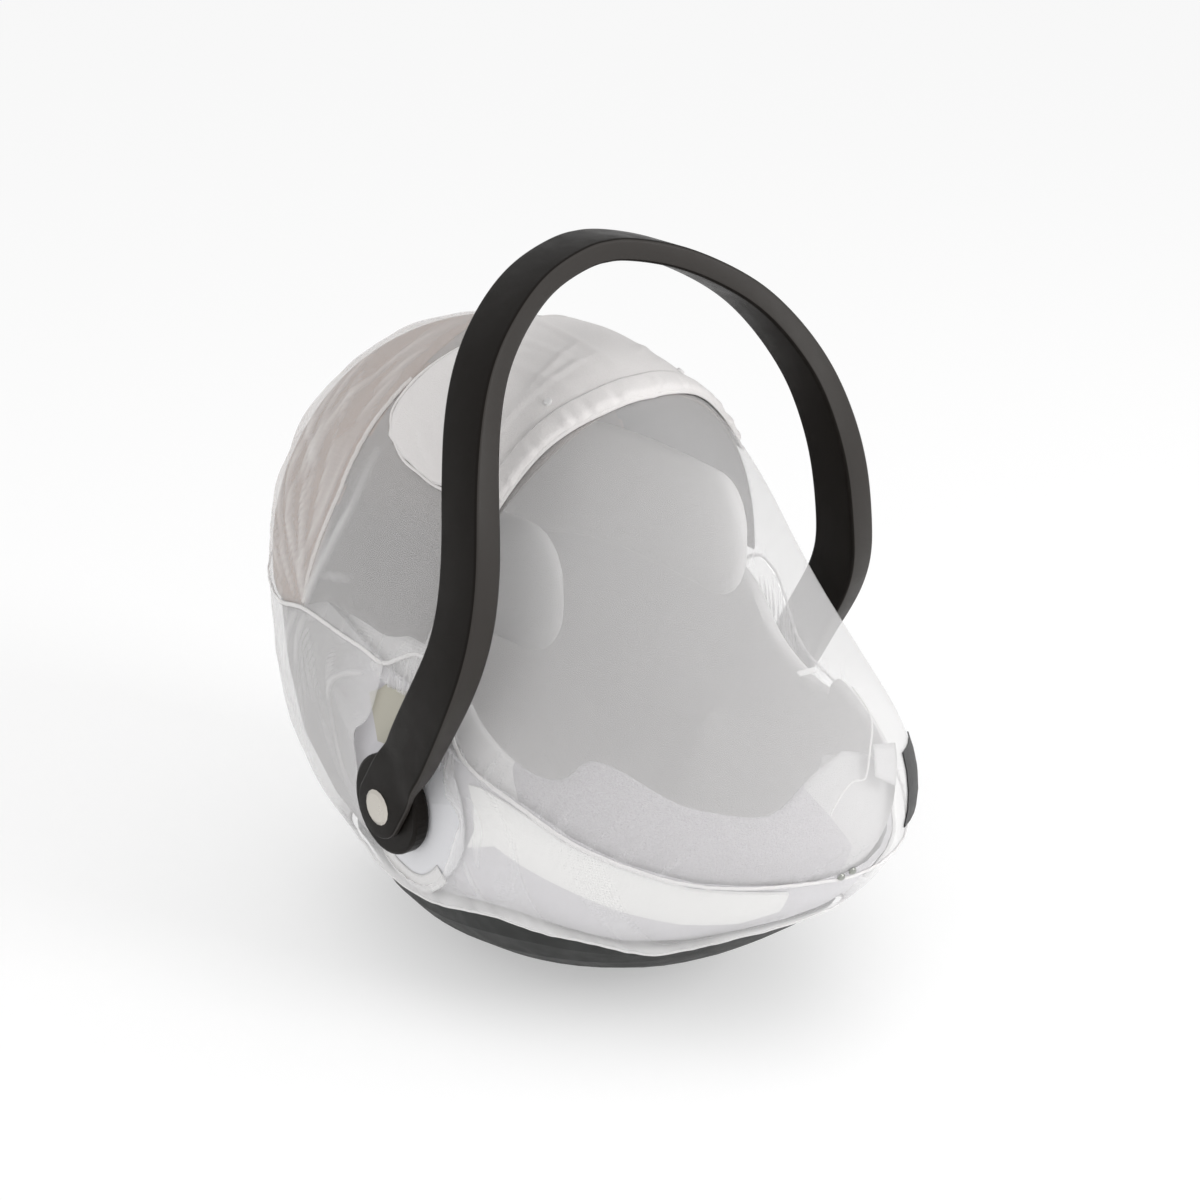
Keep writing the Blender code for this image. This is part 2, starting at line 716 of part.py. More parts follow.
def make_canopy():
    """The carrier's own hood, which holds the net up behind the visor."""
    rear = refine(disc_table(CANOPY_REAR_EDGE), 2)
    columns = len(rear)
    front = on_disc(101 + 2 * np.linspace(1, 0, columns), np.linspace(1.0, 0.29, columns))
    sheet("canopy", between(rear, front, 9), CANOPY_INSET, CANOPY_THICK, canopy_cloth)


def make_hubs():
    edge = spline(FACING, 1, 360)
    turns = np.linspace(0, 360, 25)
    ring = np.array([edge(turn) for turn in turns]) * MM
    share = 2 / math.pi * np.arcsin((ring / (reach_mm(turns) * MM)) ** (squareness(turns) / 2))
    outline = on_disc(turns, share)
    grid = np.stack([outline * scale for scale in (1.0, 0.55, 0.12)], 1)
    for side, sign in (("left", -1), ("right", 1)):
        facing_plate(f"slot_facing_{side}", grid, side == "right")
        bpy.ops.mesh.primitive_cylinder_add(vertices=40, radius=HUB_RADIUS, depth=HUB_OUTER_X - HUB_INNER_X)
        hub = bpy.context.object
        hub.name = hub.data.name = f"hub_{side}"
        hub.data.transform(Matrix.Rotation(math.radians(90), 4, "Y"))
        hub.location = (sign * (HUB_OUTER_X + HUB_INNER_X) / 2, 0, HINGE_HEIGHT)
        round_edge(hub, 2.5 * MM, 2)
        adopt(hub, handle_plastic)

        corners = between(*(refine(disc_table([pair[k] for pair in BELT_GUIDE]), 3) for k in (0, 1)), 5)
        sheet(
            f"belt_guide_{side}",
            corners,
            BELT_GUIDE_INSET,
            BELT_GUIDE_THICK,
            guide_plastic,
            both_sides=False,
            far=side == "right",
        )


def facing_plate(name, grid, far):
    """The white oval round the hub: a ring grid closed on itself, filled at its middle."""
    points = off_disc(grid, FACING_INSET)
    if far:
        points = points * np.array([-1, 1, 1])
    plate = bmesh.new()
    turns = len(points) - 1
    verts = [[plate.verts.new(points[i, j]) for j in range(points.shape[1])] for i in range(turns)]
    for i in range(turns):
        k = (i + 1) % turns
        for j in range(points.shape[1] - 1):
            corners = [verts[i][j], verts[i][j + 1], verts[k][j + 1], verts[k][j]]
            plate.faces.new(corners[::-1] if far else corners)
    middle = [verts[i][-1] for i in range(turns)]
    plate.faces.new(middle if far else middle[::-1])
    mesh = bpy.data.meshes.new(name)
    plate.normal_update()
    plate.to_mesh(mesh)
    plate.free()
    obj = new_object(name, mesh, facing_white)
    thicken = obj.modifiers.new("Thickness", "SOLIDIFY")
    thicken.thickness = 1.6 * MM
    thicken.offset = -1


def round_edge(obj, width, segments):
    bevel = obj.modifiers.new("Rounded edges", "BEVEL")
    bevel.width = width
    bevel.segments = segments
    bevel.limit_method = "ANGLE"
    bevel.angle_limit = math.radians(50)


def adopt(obj, finish):
    """Moves a primitive to the parts, with its material."""
    for collection in list(obj.users_collection):
        collection.objects.unlink(obj)
    parts.objects.link(obj)
    obj.data.materials.append(finish)
    obj.data.shade_smooth()
    obj.data.set_sharp_from_angle(angle=math.radians(40))


# Handle


def band_section(width, thick):
    """The handle's flat band with eased edges: offsets across the band and outwards."""
    ease = min(3.0 * MM, thick * 0.3)
    half, out = width / 2, thick / 2
    return (
        (-half + ease, -out),
        (half - ease, -out),
        (half, -out + ease),
        (half, out - ease * 0.8),
        (half - ease * 1.4, out),
        (-half + ease * 1.4, out),
        (-half, out - ease * 0.8),
        (-half, -out + ease),
    )


def make_handle():
    rows = [(i, *row) for i, row in enumerate(HANDLE)]
    tracks = [spline(rows, column + 1) for column in range(5)]
    fine = np.arange(0, len(HANDLE) - 1 + 0.01, 0.5)
    places = np.stack([track(fine) for track in tracks], -1) * MM
    down = places[0, :3] - places[1, :3]
    down = down / np.linalg.norm(down)
    half = PADDLE_RADIUS
    ending = []
    for step in range(PADDLE_STEPS, 0, -1):
        drop = half * math.sin(step / PADDLE_STEPS * math.radians(82))
        width = 2 * math.sqrt(half**2 - drop**2)
        ending.append([*(places[0, :3] + down * drop), width, PADDLE_THICK])
    near = np.concatenate([np.array(ending), places])
    far = near[-2::-1] * np.array([-1, 1, 1, 1, 1])
    path = np.concatenate([near, far])
    centres = path[:, :3] + np.array([0, 0, HINGE_HEIGHT])
    along = np.gradient(centres, axis=0)
    along = along / np.linalg.norm(along, axis=1, keepdims=True)
    rings = []
    for centre, direction, (width, thick) in zip(centres, along, path[:, 3:]):
        across = np.array([0, 1, 0]) - direction[1] * direction
        across = across / np.linalg.norm(across)
        outward = np.cross(direction, across)
        rings.append([centre + across * b + outward * n for b, n in band_section(width, thick)])
    handle = lofted("carry_handle", rings, handle_plastic)
    handle.data.transform(Matrix.Translation((0, 0, -HINGE_HEIGHT)))
    handle.location = (0, 0, HINGE_HEIGHT)

    for side, sign in (("left", -1), ("right", 1)):
        face_x = PADDLE_MIDDLE_X + PADDLE_THICK / 2 + 0.3 * MM
        badge = disc_button(f"blank_badge_{side}", BADGE_RADIUS, BADGE_THICK, badge_metal)
        place_button(badge, (sign * face_x, 0, HINGE_HEIGHT), (sign, 0, 0))


clear_scene()
parts = bpy.data.collections.new("Mosquito net on an infant carrier seat")
bpy.context.scene.collection.children.link(parts)

net_cloth = material("White net", (0.86, 0.85, 0.85), 0.8)
tape_cloth = material("White binding", (0.90, 0.89, 0.88), 0.7)
visor_cloth = material("Visor cotton", (0.85, 0.82, 0.82), 0.75)
patch_cloth = material("Black woven patch", (0.02, 0.02, 0.02), 0.8)
facing_white = material("White facing", (0.88, 0.88, 0.90), 0.6)
shell_plastic = material("Grey shell", (0.60, 0.60, 0.64), 0.5)
cream_plastic = material("Cream trim", (0.80, 0.80, 0.76), 0.45)
base_plastic = material("Dark base", (0.045, 0.047, 0.045), 0.5)
liner_cloth = material("Grey liner", (0.50, 0.49, 0.52), 0.9)
headrest_cloth = material("Grey headrest", (0.20, 0.19, 0.20), 0.9)
canopy_cloth = material("Grey canopy", (0.36, 0.35, 0.34), 0.9)
guide_plastic = material("Beige belt guide", (0.45, 0.43, 0.36), 0.5)
handle_plastic = material("Dark handle", (0.020, 0.017, 0.014), 0.4)
badge_metal = material("Pale badge", (0.55, 0.52, 0.47), 0.35, 0.8)

make_net()
make_tapes()
make_visor()
make_patch()
make_shell()
make_liner()
make_headrest()
make_canopy()
make_hubs()
make_handle()
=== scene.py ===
import logging
import math
from dataclasses import dataclass, field, replace
from enum import Enum

import bmesh
import bpy
import numpy as np
from bpy.types import Material, Mesh, Node, NodeSocket, NodeTree, Object
from mathutils import Matrix, Vector


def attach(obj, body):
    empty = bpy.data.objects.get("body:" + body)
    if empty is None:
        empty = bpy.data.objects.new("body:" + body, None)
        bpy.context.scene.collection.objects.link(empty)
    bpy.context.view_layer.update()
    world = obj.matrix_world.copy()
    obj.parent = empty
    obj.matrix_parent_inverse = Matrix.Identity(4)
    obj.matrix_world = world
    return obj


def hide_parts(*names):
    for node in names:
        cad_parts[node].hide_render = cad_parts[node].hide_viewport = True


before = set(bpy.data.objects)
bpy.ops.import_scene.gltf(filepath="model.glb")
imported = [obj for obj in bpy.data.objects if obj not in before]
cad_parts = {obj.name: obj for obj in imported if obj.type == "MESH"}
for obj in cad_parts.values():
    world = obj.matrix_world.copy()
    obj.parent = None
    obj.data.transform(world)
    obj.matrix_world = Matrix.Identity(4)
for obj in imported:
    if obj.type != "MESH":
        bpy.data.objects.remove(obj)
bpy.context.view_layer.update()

log = logging.getLogger("net_on_carrier")
MM = 0.001
HINGE_HEIGHT = 0.160
HALF_WIDTH = 0.192
FOLD_LAYER = "fold"
CARRIER = "carrier"
HANDLE_BODY = "handle"
Triple = tuple[float, float, float]

# The middle line of the net's surface: angle in degrees, reach from the hinge in millimetres, squareness
MIDDLE_LINE = (
    (-90, 170, 2.5), (-60, 180, 2.5), (-35, 205, 2.4), (-15, 268, 2.4), (0, 312, 2.4), (15, 338, 2.45),
    (27, 364, 2.5), (37, 374, 2.5), (45, 380, 2.35), (57, 374, 2.15), (73, 354, 1.95), (90, 338, 1.9),
    (105, 320, 1.85), (119, 299, 1.75), (133, 291, 1.7), (147, 303, 1.7), (159, 326, 1.75), (168, 337, 1.85),
    (175, 333, 1.9), (182, 315, 1.9), (195, 266, 2.0), (215, 218, 2.2), (240, 181, 2.45), (270, 170, 2.5),
)

# The seam round the rim, from the middle of the head end to the middle of the foot end: angle, share
RIM_SEAM = (
    (17, 1.0), (19, 0.8), (22, 0.58), (27.3, 0.368), (38, 0.275), (52, 0.218), (66, 0.208), (75, 0.208),
    (95, 0.256), (112, 0.262), (133, 0.234), (145, 0.237), (155.5, 0.254), (165.2, 0.295), (172.5, 0.36),
    (176.9, 0.46), (179.7, 0.615), (179.4, 0.80), (179.6, 1.0),
)
JUNCTION_ROW = 4
CROWN_ANGLE = 72
REAR_SEAM = ((38, 0.275), (48.7, 0.35), (57.2, 0.436), (61.9, 0.531), (65.7, 0.619), (69, 0.70), (72, 1.0))

# The skirt's stations: its upper edge and its elastic hem, each as angle and share
SKIRT = (
    ((17, 1.0), (-22, 1.0)), ((19, 0.8), (-24, 0.80)), ((22, 0.58), (-27, 0.62)),
    ((27.3, 0.368), (-31.5, 0.48)), ((38, 0.275), (-36, 0.415)), ((52, 0.218), (-39.5, 0.378)),
    ((66, 0.208), (-43, 0.355)), ((75, 0.208), (-46, 0.338)), ((67, 0.150), (-49.5, 0.322)),
    ((45, 0.085), (-55, 0.298)), ((0, 0.080), (-62, 0.274)), ((-45, 0.125), (-71, 0.264)),
    ((-72, 0.185), (-81, 0.267)), ((-100, 0.222), (-98, 0.278)), ((-134, 0.185), (-113, 0.284)),
    ((-170, 0.160), (-126, 0.292)), ((-195, 0.156), (-134, 0.312)), ((-211, 0.163), (-141, 0.338)),
    ((-227, 0.234), (-147, 0.400)), ((-215, 0.237), (-150, 0.455)), ((-204.5, 0.254), (-152.6, 0.513)),
    ((-194.8, 0.295), (-154.4, 0.593)), ((-187.5, 0.36), (-155.1, 0.674)), ((-183.1, 0.46), (-158, 0.735)),
    ((-180.3, 0.615), (-162.5, 0.785)), ((-180.6, 0.80), (-167, 0.84)), ((-180.4, 1.0), (-171, 1.0)),
)

# The visor's rear and front edges: share, rear angle, front angle
VISOR_SIDES = (
    (1.0, 79.5, 104.6), (0.93, 79.0, 104.2), (0.84, 76.5, 103.4), (0.77, 73.5, 102.4), (0.68, 69.8, 101.4),
    (0.60, 68.6, 101.0), (0.55, 69.4, 101.0),
)
VISOR_FOOT = ((69.4, 0.568), (74, 0.536), (79, 0.521), (84, 0.512), (93, 0.522), (101, 0.545))

# The padding's rim, from the head end to the foot end: angle, share
LINER_RIM = (
    (44, 1.0), (45, 0.84), (47, 0.70), (52, 0.52), (60, 0.38), (76, 0.285), (98, 0.262), (120, 0.262),
    (142, 0.275), (158, 0.315), (160, 0.375), (157, 0.430), (162, 0.495), (167.5, 0.570), (169.6, 0.660),
    (170, 0.760), (166, 0.86), (163.5, 1.0),
)
# How thick the padding is: angle, millimetres
PADDING = ((-90, 58), (-40, 46), (0, 40), (45, 26), (90, 22), (150, 26), (180, 30), (225, 50), (270, 58))

# The handle's sections from the near hub to the middle, in mm: X, Y, height over the hinge, width, thickness
HANDLE = (
    (-207.4, 0.0, 0.0, 52.0, 6.4),
    (-207.4, -11.5, 17.5, 51.5, 6.4),
    (-207.4, -23.5, 35.5, 50.5, 6.6),
    (-204.8, -36.0, 53.0, 49.5, 13.5),
    (-203.6, -53.0, 80.0, 48.0, 18.0),
    (-202.6, -73.5, 113.0, 47.0, 21.0),
    (-198.4, -88.5, 146.0, 46.0, 23.0),
    (-192.4, -94.5, 178.0, 45.0, 24.0),
    (-187.4, -95.0, 210.0, 45.0, 24.0),
    (-183.0, -91.5, 239.0, 44.5, 23.5),
    (-177.6, -84.5, 267.0, 44.0, 22.5),
    (-169.8, -75.0, 295.0, 44.0, 21.0),
    (-158.6, -63.5, 321.0, 44.0, 20.0),
    (-143.0, -51.0, 346.0, 44.0, 19.0),
    (-121.5, -38.5, 369.0, 44.0, 18.5),
    (-92.0, -24.5, 389.0, 44.0, 18.0),
    (-57.0, -12.5, 404.5, 44.0, 18.0),
    (-20.0, -6.0, 413.5, 44.0, 18.0),
    (0.0, -5.0, 415.0, 44.0, 18.0),
)

# The headrest's middle line, in millimetres: X, Y, height over the hinge
HEADREST = (
    (-93, -85, 170), (-97, -40, 172), (-102, 30, 174), (-98, 110, 175), (-82, 176, 166), (-46, 222, 156),
    (0, 244, 150), (46, 222, 156), (82, 176, 166), (98, 110, 175), (102, 30, 174), (97, -40, 172),
    (93, -85, 170),
)


class Side(Enum):
    """Which half of the width a thing is on."""

    NEAR = -1
    FAR = 1


class Held(Enum):
    STRETCHED = "stretched"


class SmoothCurve:
    """A cubic curve through the columns of a table, natural at its ends or periodic."""

    def __init__(self, rows: tuple, column: int, period: float | None = None) -> None:
        """Solves for the curve's bends.

        Args:
            rows: The table, whose first column rises.
            column: The column of the values.
            period: The length after which the curve repeats, if it does.
        """
        self.xs = np.array([row[0] for row in rows], float)
        self.ys = np.array([row[column] for row in rows], float)
        self.period = period
        self.steps = np.diff(self.xs)
        self.slopes = np.diff(self.ys) / self.steps
        count = len(self.xs)
        matrix = np.eye(count)
        right = np.zeros(count)
        for i in range(1, count - 1):
            before, after = self.steps[i - 1], self.steps[i]
            matrix[i, i - 1 : i + 2] = before, 2 * (before + after), after
            right[i] = 6 * (self.slopes[i] - self.slopes[i - 1])
        if period:
            matrix[0, :2] = 2 * (self.steps[-1] + self.steps[0]), self.steps[0]
            matrix[0, -2] = self.steps[-1]
            right[0] = 6 * (self.slopes[0] - self.slopes[-1])
            matrix[-1, 0] = 1
            matrix[-1, -1] = -1
        self.bend = np.linalg.solve(matrix, right)

    def __call__(self, x: np.ndarray | float) -> np.ndarray:
        """Reads the curve.

        Args:
            x: Where to read it.

        Returns:
            The values there.
        """
        x = np.asarray(x, float)
        if self.period:
            x = (x - self.xs[0]) % self.period + self.xs[0]
        i = np.clip(np.searchsorted(self.xs, x, side="right") - 1, 0, len(self.xs) - 2)
        t, h, bend = x - self.xs[i], self.steps[i], self.bend
        linear = self.slopes[i] - h * (2 * bend[i] + bend[i + 1]) / 6
        return self.ys[i] + t * (linear + t * (bend[i] / 2 + t * (bend[i + 1] - bend[i]) / (6 * h)))


@dataclass(frozen=True)
class Fan:
    """The family of surfaces about the hinge that the net, the shell and the padding share."""

    reach_mm: SmoothCurve = SmoothCurve(MIDDLE_LINE, 1, 360)
    squareness: SmoothCurve = SmoothCurve(MIDDLE_LINE, 2, 360)

    def point(self, flat: np.ndarray, inset: np.ndarray | float, sign: np.ndarray | float = -1) -> np.ndarray:
        """Places on the surface.

        Args:
            flat: Disc places, with the hinge at the disc's centre and the middle line as its edge.
            inset: How far inside the net's outer face they lie, in metres.
            sign: -1 on the near side, 1 on the far side.

        Returns:
            The points in metres.
        """
        share = np.hypot(flat[..., 0], flat[..., 1]).clip(0, 1)
        radians = np.arctan2(flat[..., 1], flat[..., 0])
        angle = np.degrees(radians)
        power = 2 / self.squareness(angle)
        turn = share * math.pi / 2
        across = (HALF_WIDTH - inset) * np.cos(turn).clip(0) ** power
        across = np.where(share > 0.99999, 0.0, across)
        reach = (self.reach_mm(angle) * MM - inset) * np.sin(turn) ** power
        height = np.maximum(reach * np.sin(radians) + HINGE_HEIGHT, 0.0)
        return np.stack([across * sign, reach * np.cos(radians), height], -1)

    def outward(self, flat: np.ndarray, sign: np.ndarray | float = -1) -> np.ndarray:
        """The direction out of the net.

        Args:
            flat: Disc places.
            sign: -1 on the near side, 1 on the far side.

        Returns:
            Unit vectors.
        """
        step = 1e-3
        inner = flat * 0.998
        one, two = np.array([step, 0]), np.array([0, step])
        along = self.point(inner + one, 0.0) - self.point(inner - one, 0.0)
        up = self.point(inner + two, 0.0) - self.point(inner - two, 0.0)
        normal = np.cross(along, up)
        away = self.point(inner, 0.0) - np.array([0, 0, HINGE_HEIGHT])
        normal = normal * np.sign((normal * away).sum(-1))[..., None]
        normal[..., 0] *= -np.asarray(sign)
        middle = np.hypot(flat[..., 0], flat[..., 1]) > 0.99999
        normal[middle, 0] = 0
        return unit(normal)


FAN = Fan()


def unit(vectors: np.ndarray) -> np.ndarray:
    """Vectors of the same directions and of length 1."""
    return vectors / np.linalg.norm(vectors, axis=-1, keepdims=True)


def run_length(points: np.ndarray) -> np.ndarray:
    """The length along a line up to each of its points."""
    return np.concatenate([[0], np.cumsum(np.linalg.norm(np.diff(points, axis=0), axis=1))])


def smooth_path(points: np.ndarray, fine: np.ndarray, at: np.ndarray | None = None) -> np.ndarray:
    """A smooth path through points.

    Args:
        points: The points.
        fine: Where to read the path.
        at: Where each point lies, or its number if left out.

    Returns:
        The path's points.
    """
    rows = tuple((place, *point) for place, point in zip(range(len(points)) if at is None else at, points))
    return np.stack([SmoothCurve(rows, column)(fine) for column in range(1, len(rows[0]))], -1)


def mirrored(near: np.ndarray, axis: int) -> tuple[np.ndarray, np.ndarray]:
    """The near side's disc places with the far side's joined on at the middle line.

    Args:
        near: Disc places, the last of which along the axis lie on the middle line.
        axis: 0 or 1.

    Returns:
        All places, and the side of each as -1 or 1.
    """
    both = np.concatenate([near, np.flip(near, axis).take(range(1, near.shape[axis]), axis)], axis=axis)
    sign = np.ones(both.shape[:-1])
    sign[(slice(None),) * axis + (slice(near.shape[axis]),)] = -1
    return both, sign


def on_disc(angle: np.ndarray | float, share: np.ndarray | float) -> np.ndarray:
    """Disc places from angles in degrees and shares."""
    radians = np.radians(angle)
    return np.stack(np.broadcast_arrays(share * np.cos(radians), share * np.sin(radians)), -1)


def disc_table(rows: tuple) -> np.ndarray:
    """Disc places of a table of angle and share."""
    table = np.array(rows, float)
    return on_disc(table[:, 0], table[:, 1])


def smooth_line(flat: np.ndarray, count: int) -> np.ndarray:
    """A smooth line through disc places, at places evenly spread by real length.

    Args:
        flat: The places it goes through.
        count: How many places it gets.

    Returns:
        The new places, with the first and the last kept.
    """
    steps = np.concatenate([[0], np.cumsum(np.linalg.norm(np.diff(flat, axis=0), axis=1) ** 0.5)])
    line = smooth_path(flat, np.linspace(0, steps[-1], len(flat) * 12), steps)
    line[0], line[-1] = flat[0], flat[-1]
    radius = np.linalg.norm(line, axis=1, keepdims=True)
    line = line / np.maximum(radius, 1)
    real = FAN.point(line, 0.0)
    along = np.concatenate([[0], np.cumsum(np.linalg.norm(np.diff(real, axis=0), axis=1) + 1e-9)])
    wanted = np.linspace(0, along[-1], count)
    return np.stack([np.interp(wanted, along, line[:, i]) for i in (0, 1)], -1)


def smooth_stations(rows: tuple, steps: int) -> tuple[np.ndarray, np.ndarray]:
    """The two edges of a table of stations, refined together.

    Args:
        rows: Pairs of angle and share.
        steps: How many places each stretch gets.

    Returns:
        The two lines of disc places.
    """
    fine = np.linspace(0, len(rows) - 1, (len(rows) - 1) * steps + 1)
    lines = []
    for edge in (0, 1):
        flat = disc_table(tuple(row[edge] for row in rows))
        line = smooth_path(flat, fine)
        line[0], line[-1] = flat[0], flat[-1]
        lines.append(line)
    return lines[0], lines[1]


def between(lower: np.ndarray, upper: np.ndarray, rows: int) -> np.ndarray:
    """A grid of disc places from one line to another, round the disc's edge where they lie far out."""
    v = np.linspace(0, 1, rows)[None, :, None]
    straight = lower[:, None] * (1 - v) + upper[:, None] * v
    radius = np.linalg.norm(straight, axis=-1, keepdims=True)
    even = np.linalg.norm(lower, axis=-1)[:, None, None] * (1 - v)
    even = even + np.linalg.norm(upper, axis=-1)[:, None, None] * v
    weight = np.clip(2 * even - 1, 0, 1)
    return straight * (1 - weight + weight * even / radius)


def four_sided(bottom: np.ndarray, top: np.ndarray, left: np.ndarray, right: np.ndarray) -> np.ndarray:
    """A grid of disc places that fills four boundary lines."""
    u = np.linspace(0, 1, len(bottom))[:, None, None]
    v = np.linspace(0, 1, len(left))[None, :, None]
    sides = (1 - u) * left[None] + u * right[None]
    ends = (1 - v) * bottom[:, None] + v * top[:, None]
    corners = (1 - u) * ((1 - v) * bottom[0] + v * top[0])
    corners = corners + u * ((1 - v) * bottom[-1] + v * top[-1])
    return sides + ends - corners


class Ripple:
    """Smooth random relief over two coordinates, the same at every run."""

    def __init__(self, seed: int) -> None:
        """Draws the lattice that the relief runs through."""
        self.lattice = np.random.default_rng(seed).uniform(-1, 1, (256, 256))

    def __call__(self, u: np.ndarray, v: np.ndarray) -> np.ndarray:
        """Reads the relief.

        Args:
            u: First coordinate, one lattice step a unit.
            v: Second coordinate.

        Returns:
            Values from -1 to 1.
        """
        i, j = np.floor(u).astype(int), np.floor(v).astype(int)
        s, t = u - i, v - j
        s, t = s * s * (3 - 2 * s), t * t * (3 - 2 * t)
        i, j, k, m = i % 256, j % 256, (i + 1) % 256, (j + 1) % 256
        low = self.lattice[i, j] * (1 - s) + self.lattice[k, j] * s
        high = self.lattice[i, m] * (1 - s) + self.lattice[k, m] * s
        return low * (1 - t) + high * t


@dataclass(frozen=True)
class Crease:
    """A fold that runs over the net from one place to another."""

    start: tuple[float, float]
    end: tuple[float, float]
    height: float
    width: float
    bow: float = 0.0
    side: Side = Side.NEAR

    def relief(self, points: np.ndarray) -> np.ndarray:
        """How far the fold lifts the cloth.

        Args:
            points: The cloth's points, in metres.

        Returns:
            The lift of each, in metres.
        """
        first, last = on_disc(*self.start), on_disc(*self.end)
        t = np.linspace(0, 1, 14)[:, None]
        across = np.array([first[1] - last[1], last[0] - first[0]])
        path = first * (1 - t) + last * t + across * self.bow * 4 * t * (1 - t)
        centre = FAN.point(path, 0.0, self.side.value)
        best = np.full(points.shape[:-1], 1e9)
        place = np.zeros(points.shape[:-1])
        for k in range(len(centre) - 1):
            stretch = centre[k + 1] - centre[k]
            s = ((points - centre[k]) @ stretch / (stretch @ stretch)).clip(0, 1)
            gap = np.linalg.norm(points - centre[k] - s[..., None] * stretch, axis=-1)
            nearer = gap < best
            best = np.where(nearer, gap, best)
            place = np.where(nearer, (k + s) / (len(centre) - 1), place)
        x = (best / (self.width * MM)) ** 2
        taper = np.sin(np.pi * (0.12 + 0.88 * place).clip(0, 1)) ** 0.6
        return self.height * MM * (1 - 0.8 * x) * np.exp(-x) * taper


@dataclass(frozen=True)
class Gather:
    """Small folds beside a stitched edge, which fade away from it. Lengths are in metres."""

    pitch: float
    reach: float
    fade: float
    height: float
    offset: float = 0.0

    def lift(self, ripple: Ripple, along: np.ndarray, away: np.ndarray) -> np.ndarray:
        """How far the folds lift the cloth.

        Args:
            ripple: The relief they follow.
            along: The length along the edge.
            away: The distance from the edge.

        Returns:
            The lift of each place, in metres.
        """
        folds = ripple(along / self.pitch + self.offset, away / self.reach)
        return folds * np.exp(-away / self.fade) * self.height


HEM_GATHERS = Gather(0.0075, 0.06, 0.025, 0.0005)
HEM_PLEATS = Gather(0.022, 0.12, 0.06, 0.0009, 60)
SLOT_GATHERS = Gather(0.004, 0.03, 0.012, 0.0012, 90)
SEAM_GATHERS = Gather(0.007, 0.05, 0.022, 0.0006)


def creases(*rows: tuple) -> tuple[Crease, ...]:
    """Folds from rows of start angle and share, end angle and share, height, width, bow and side."""
    return tuple(Crease(row[:2], row[2:4], *row[4:]) for row in rows)


# Finishes


def set_inputs(node: Node, **values: float | tuple) -> Node:
    """Sets a node's inputs, whose names are written with underscores for their spaces."""
    for name, value in values.items():
        node.inputs[name.replace("_", " ")].default_value = value
    return node


def add_node(tree: NodeTree, kind: str, settings: dict | None = None, **values: float | tuple) -> Node:
    """Adds a node to a material.

    Args:
        tree: The material's nodes.
        kind: The node's type, without its first word.
        settings: Its settings.
        values: Its inputs.

    Returns:
        The node.
    """
    node = tree.nodes.new(f"ShaderNode{kind}")
    for name, value in (settings or {}).items():
        setattr(node, name, value)
    return set_inputs(node, **values)


def principled(name: str, **values: float | tuple) -> tuple[Material, Node, NodeTree]:
    """A new material with its shader, whose inputs are set, and its node tree."""
    material = bpy.data.materials.new(name)
    material.use_nodes = True
    shader = material.node_tree.nodes["Principled BSDF"]
    return material, set_inputs(shader, **values), material.node_tree


def textured_value(tree: NodeTree, scale: Triple, detail: float, low: float, high: float) -> NodeSocket:
    """A noise over the object's own coordinates, stretched to a range.

    Args:
        tree: The material's nodes.
        scale: How many noise cells a metre, along X, Y and Z.
        detail: The noise's octaves.
        low: The least value.
        high: The greatest value.

    Returns:
        The socket that carries it.
    """
    place = add_node(tree, "TexCoord")
    stretch = add_node(tree, "Mapping", Scale=scale)
    noise = add_node(tree, "TexNoise", Scale=1.0, Detail=detail)
    ranged = add_node(tree, "MapRange", From_Min=0.32, From_Max=0.68, To_Min=low, To_Max=high)
    tree.links.new(place.outputs["Object"], stretch.inputs["Vector"])
    tree.links.new(stretch.outputs["Vector"], noise.inputs["Vector"])
    tree.links.new(noise.outputs["Fac"], ranged.inputs["Value"])
    return ranged.outputs["Result"]


def bumped(tree: NodeTree, shader: Node, height: NodeSocket, depth: float) -> None:
    """Lets a height act on the shader's normal.

    Args:
        tree: The material's nodes.
        shader: Its shader.
        height: The height's socket, from 0 to 1.
        depth: What 1 stands for, in metres.
    """
    bump = add_node(tree, "Bump", Distance=depth)
    tree.links.new(height, bump.inputs["Height"])
    tree.links.new(bump.outputs["Normal"], shader.inputs["Normal"])


def multiply_add(
    tree: NodeTree,
    value: NodeSocket,
    factor: float,
    base: NodeSocket,
    clamp: bool = False,
) -> NodeSocket:
    """A value times a factor, added to a base.

    Args:
        tree: The material's nodes.
        value: The value's socket.
        factor: The factor.
        base: The base's socket.
        clamp: Whether the sum stays from 0 to 1.

    Returns:
        The sum's socket.
    """
    total = add_node(tree, "Math", {"operation": "MULTIPLY_ADD", "use_clamp": clamp})
    total.inputs[1].default_value = factor
    tree.links.new(value, total.inputs[0])
    tree.links.new(base, total.inputs[2])
    return total.outputs["Value"]


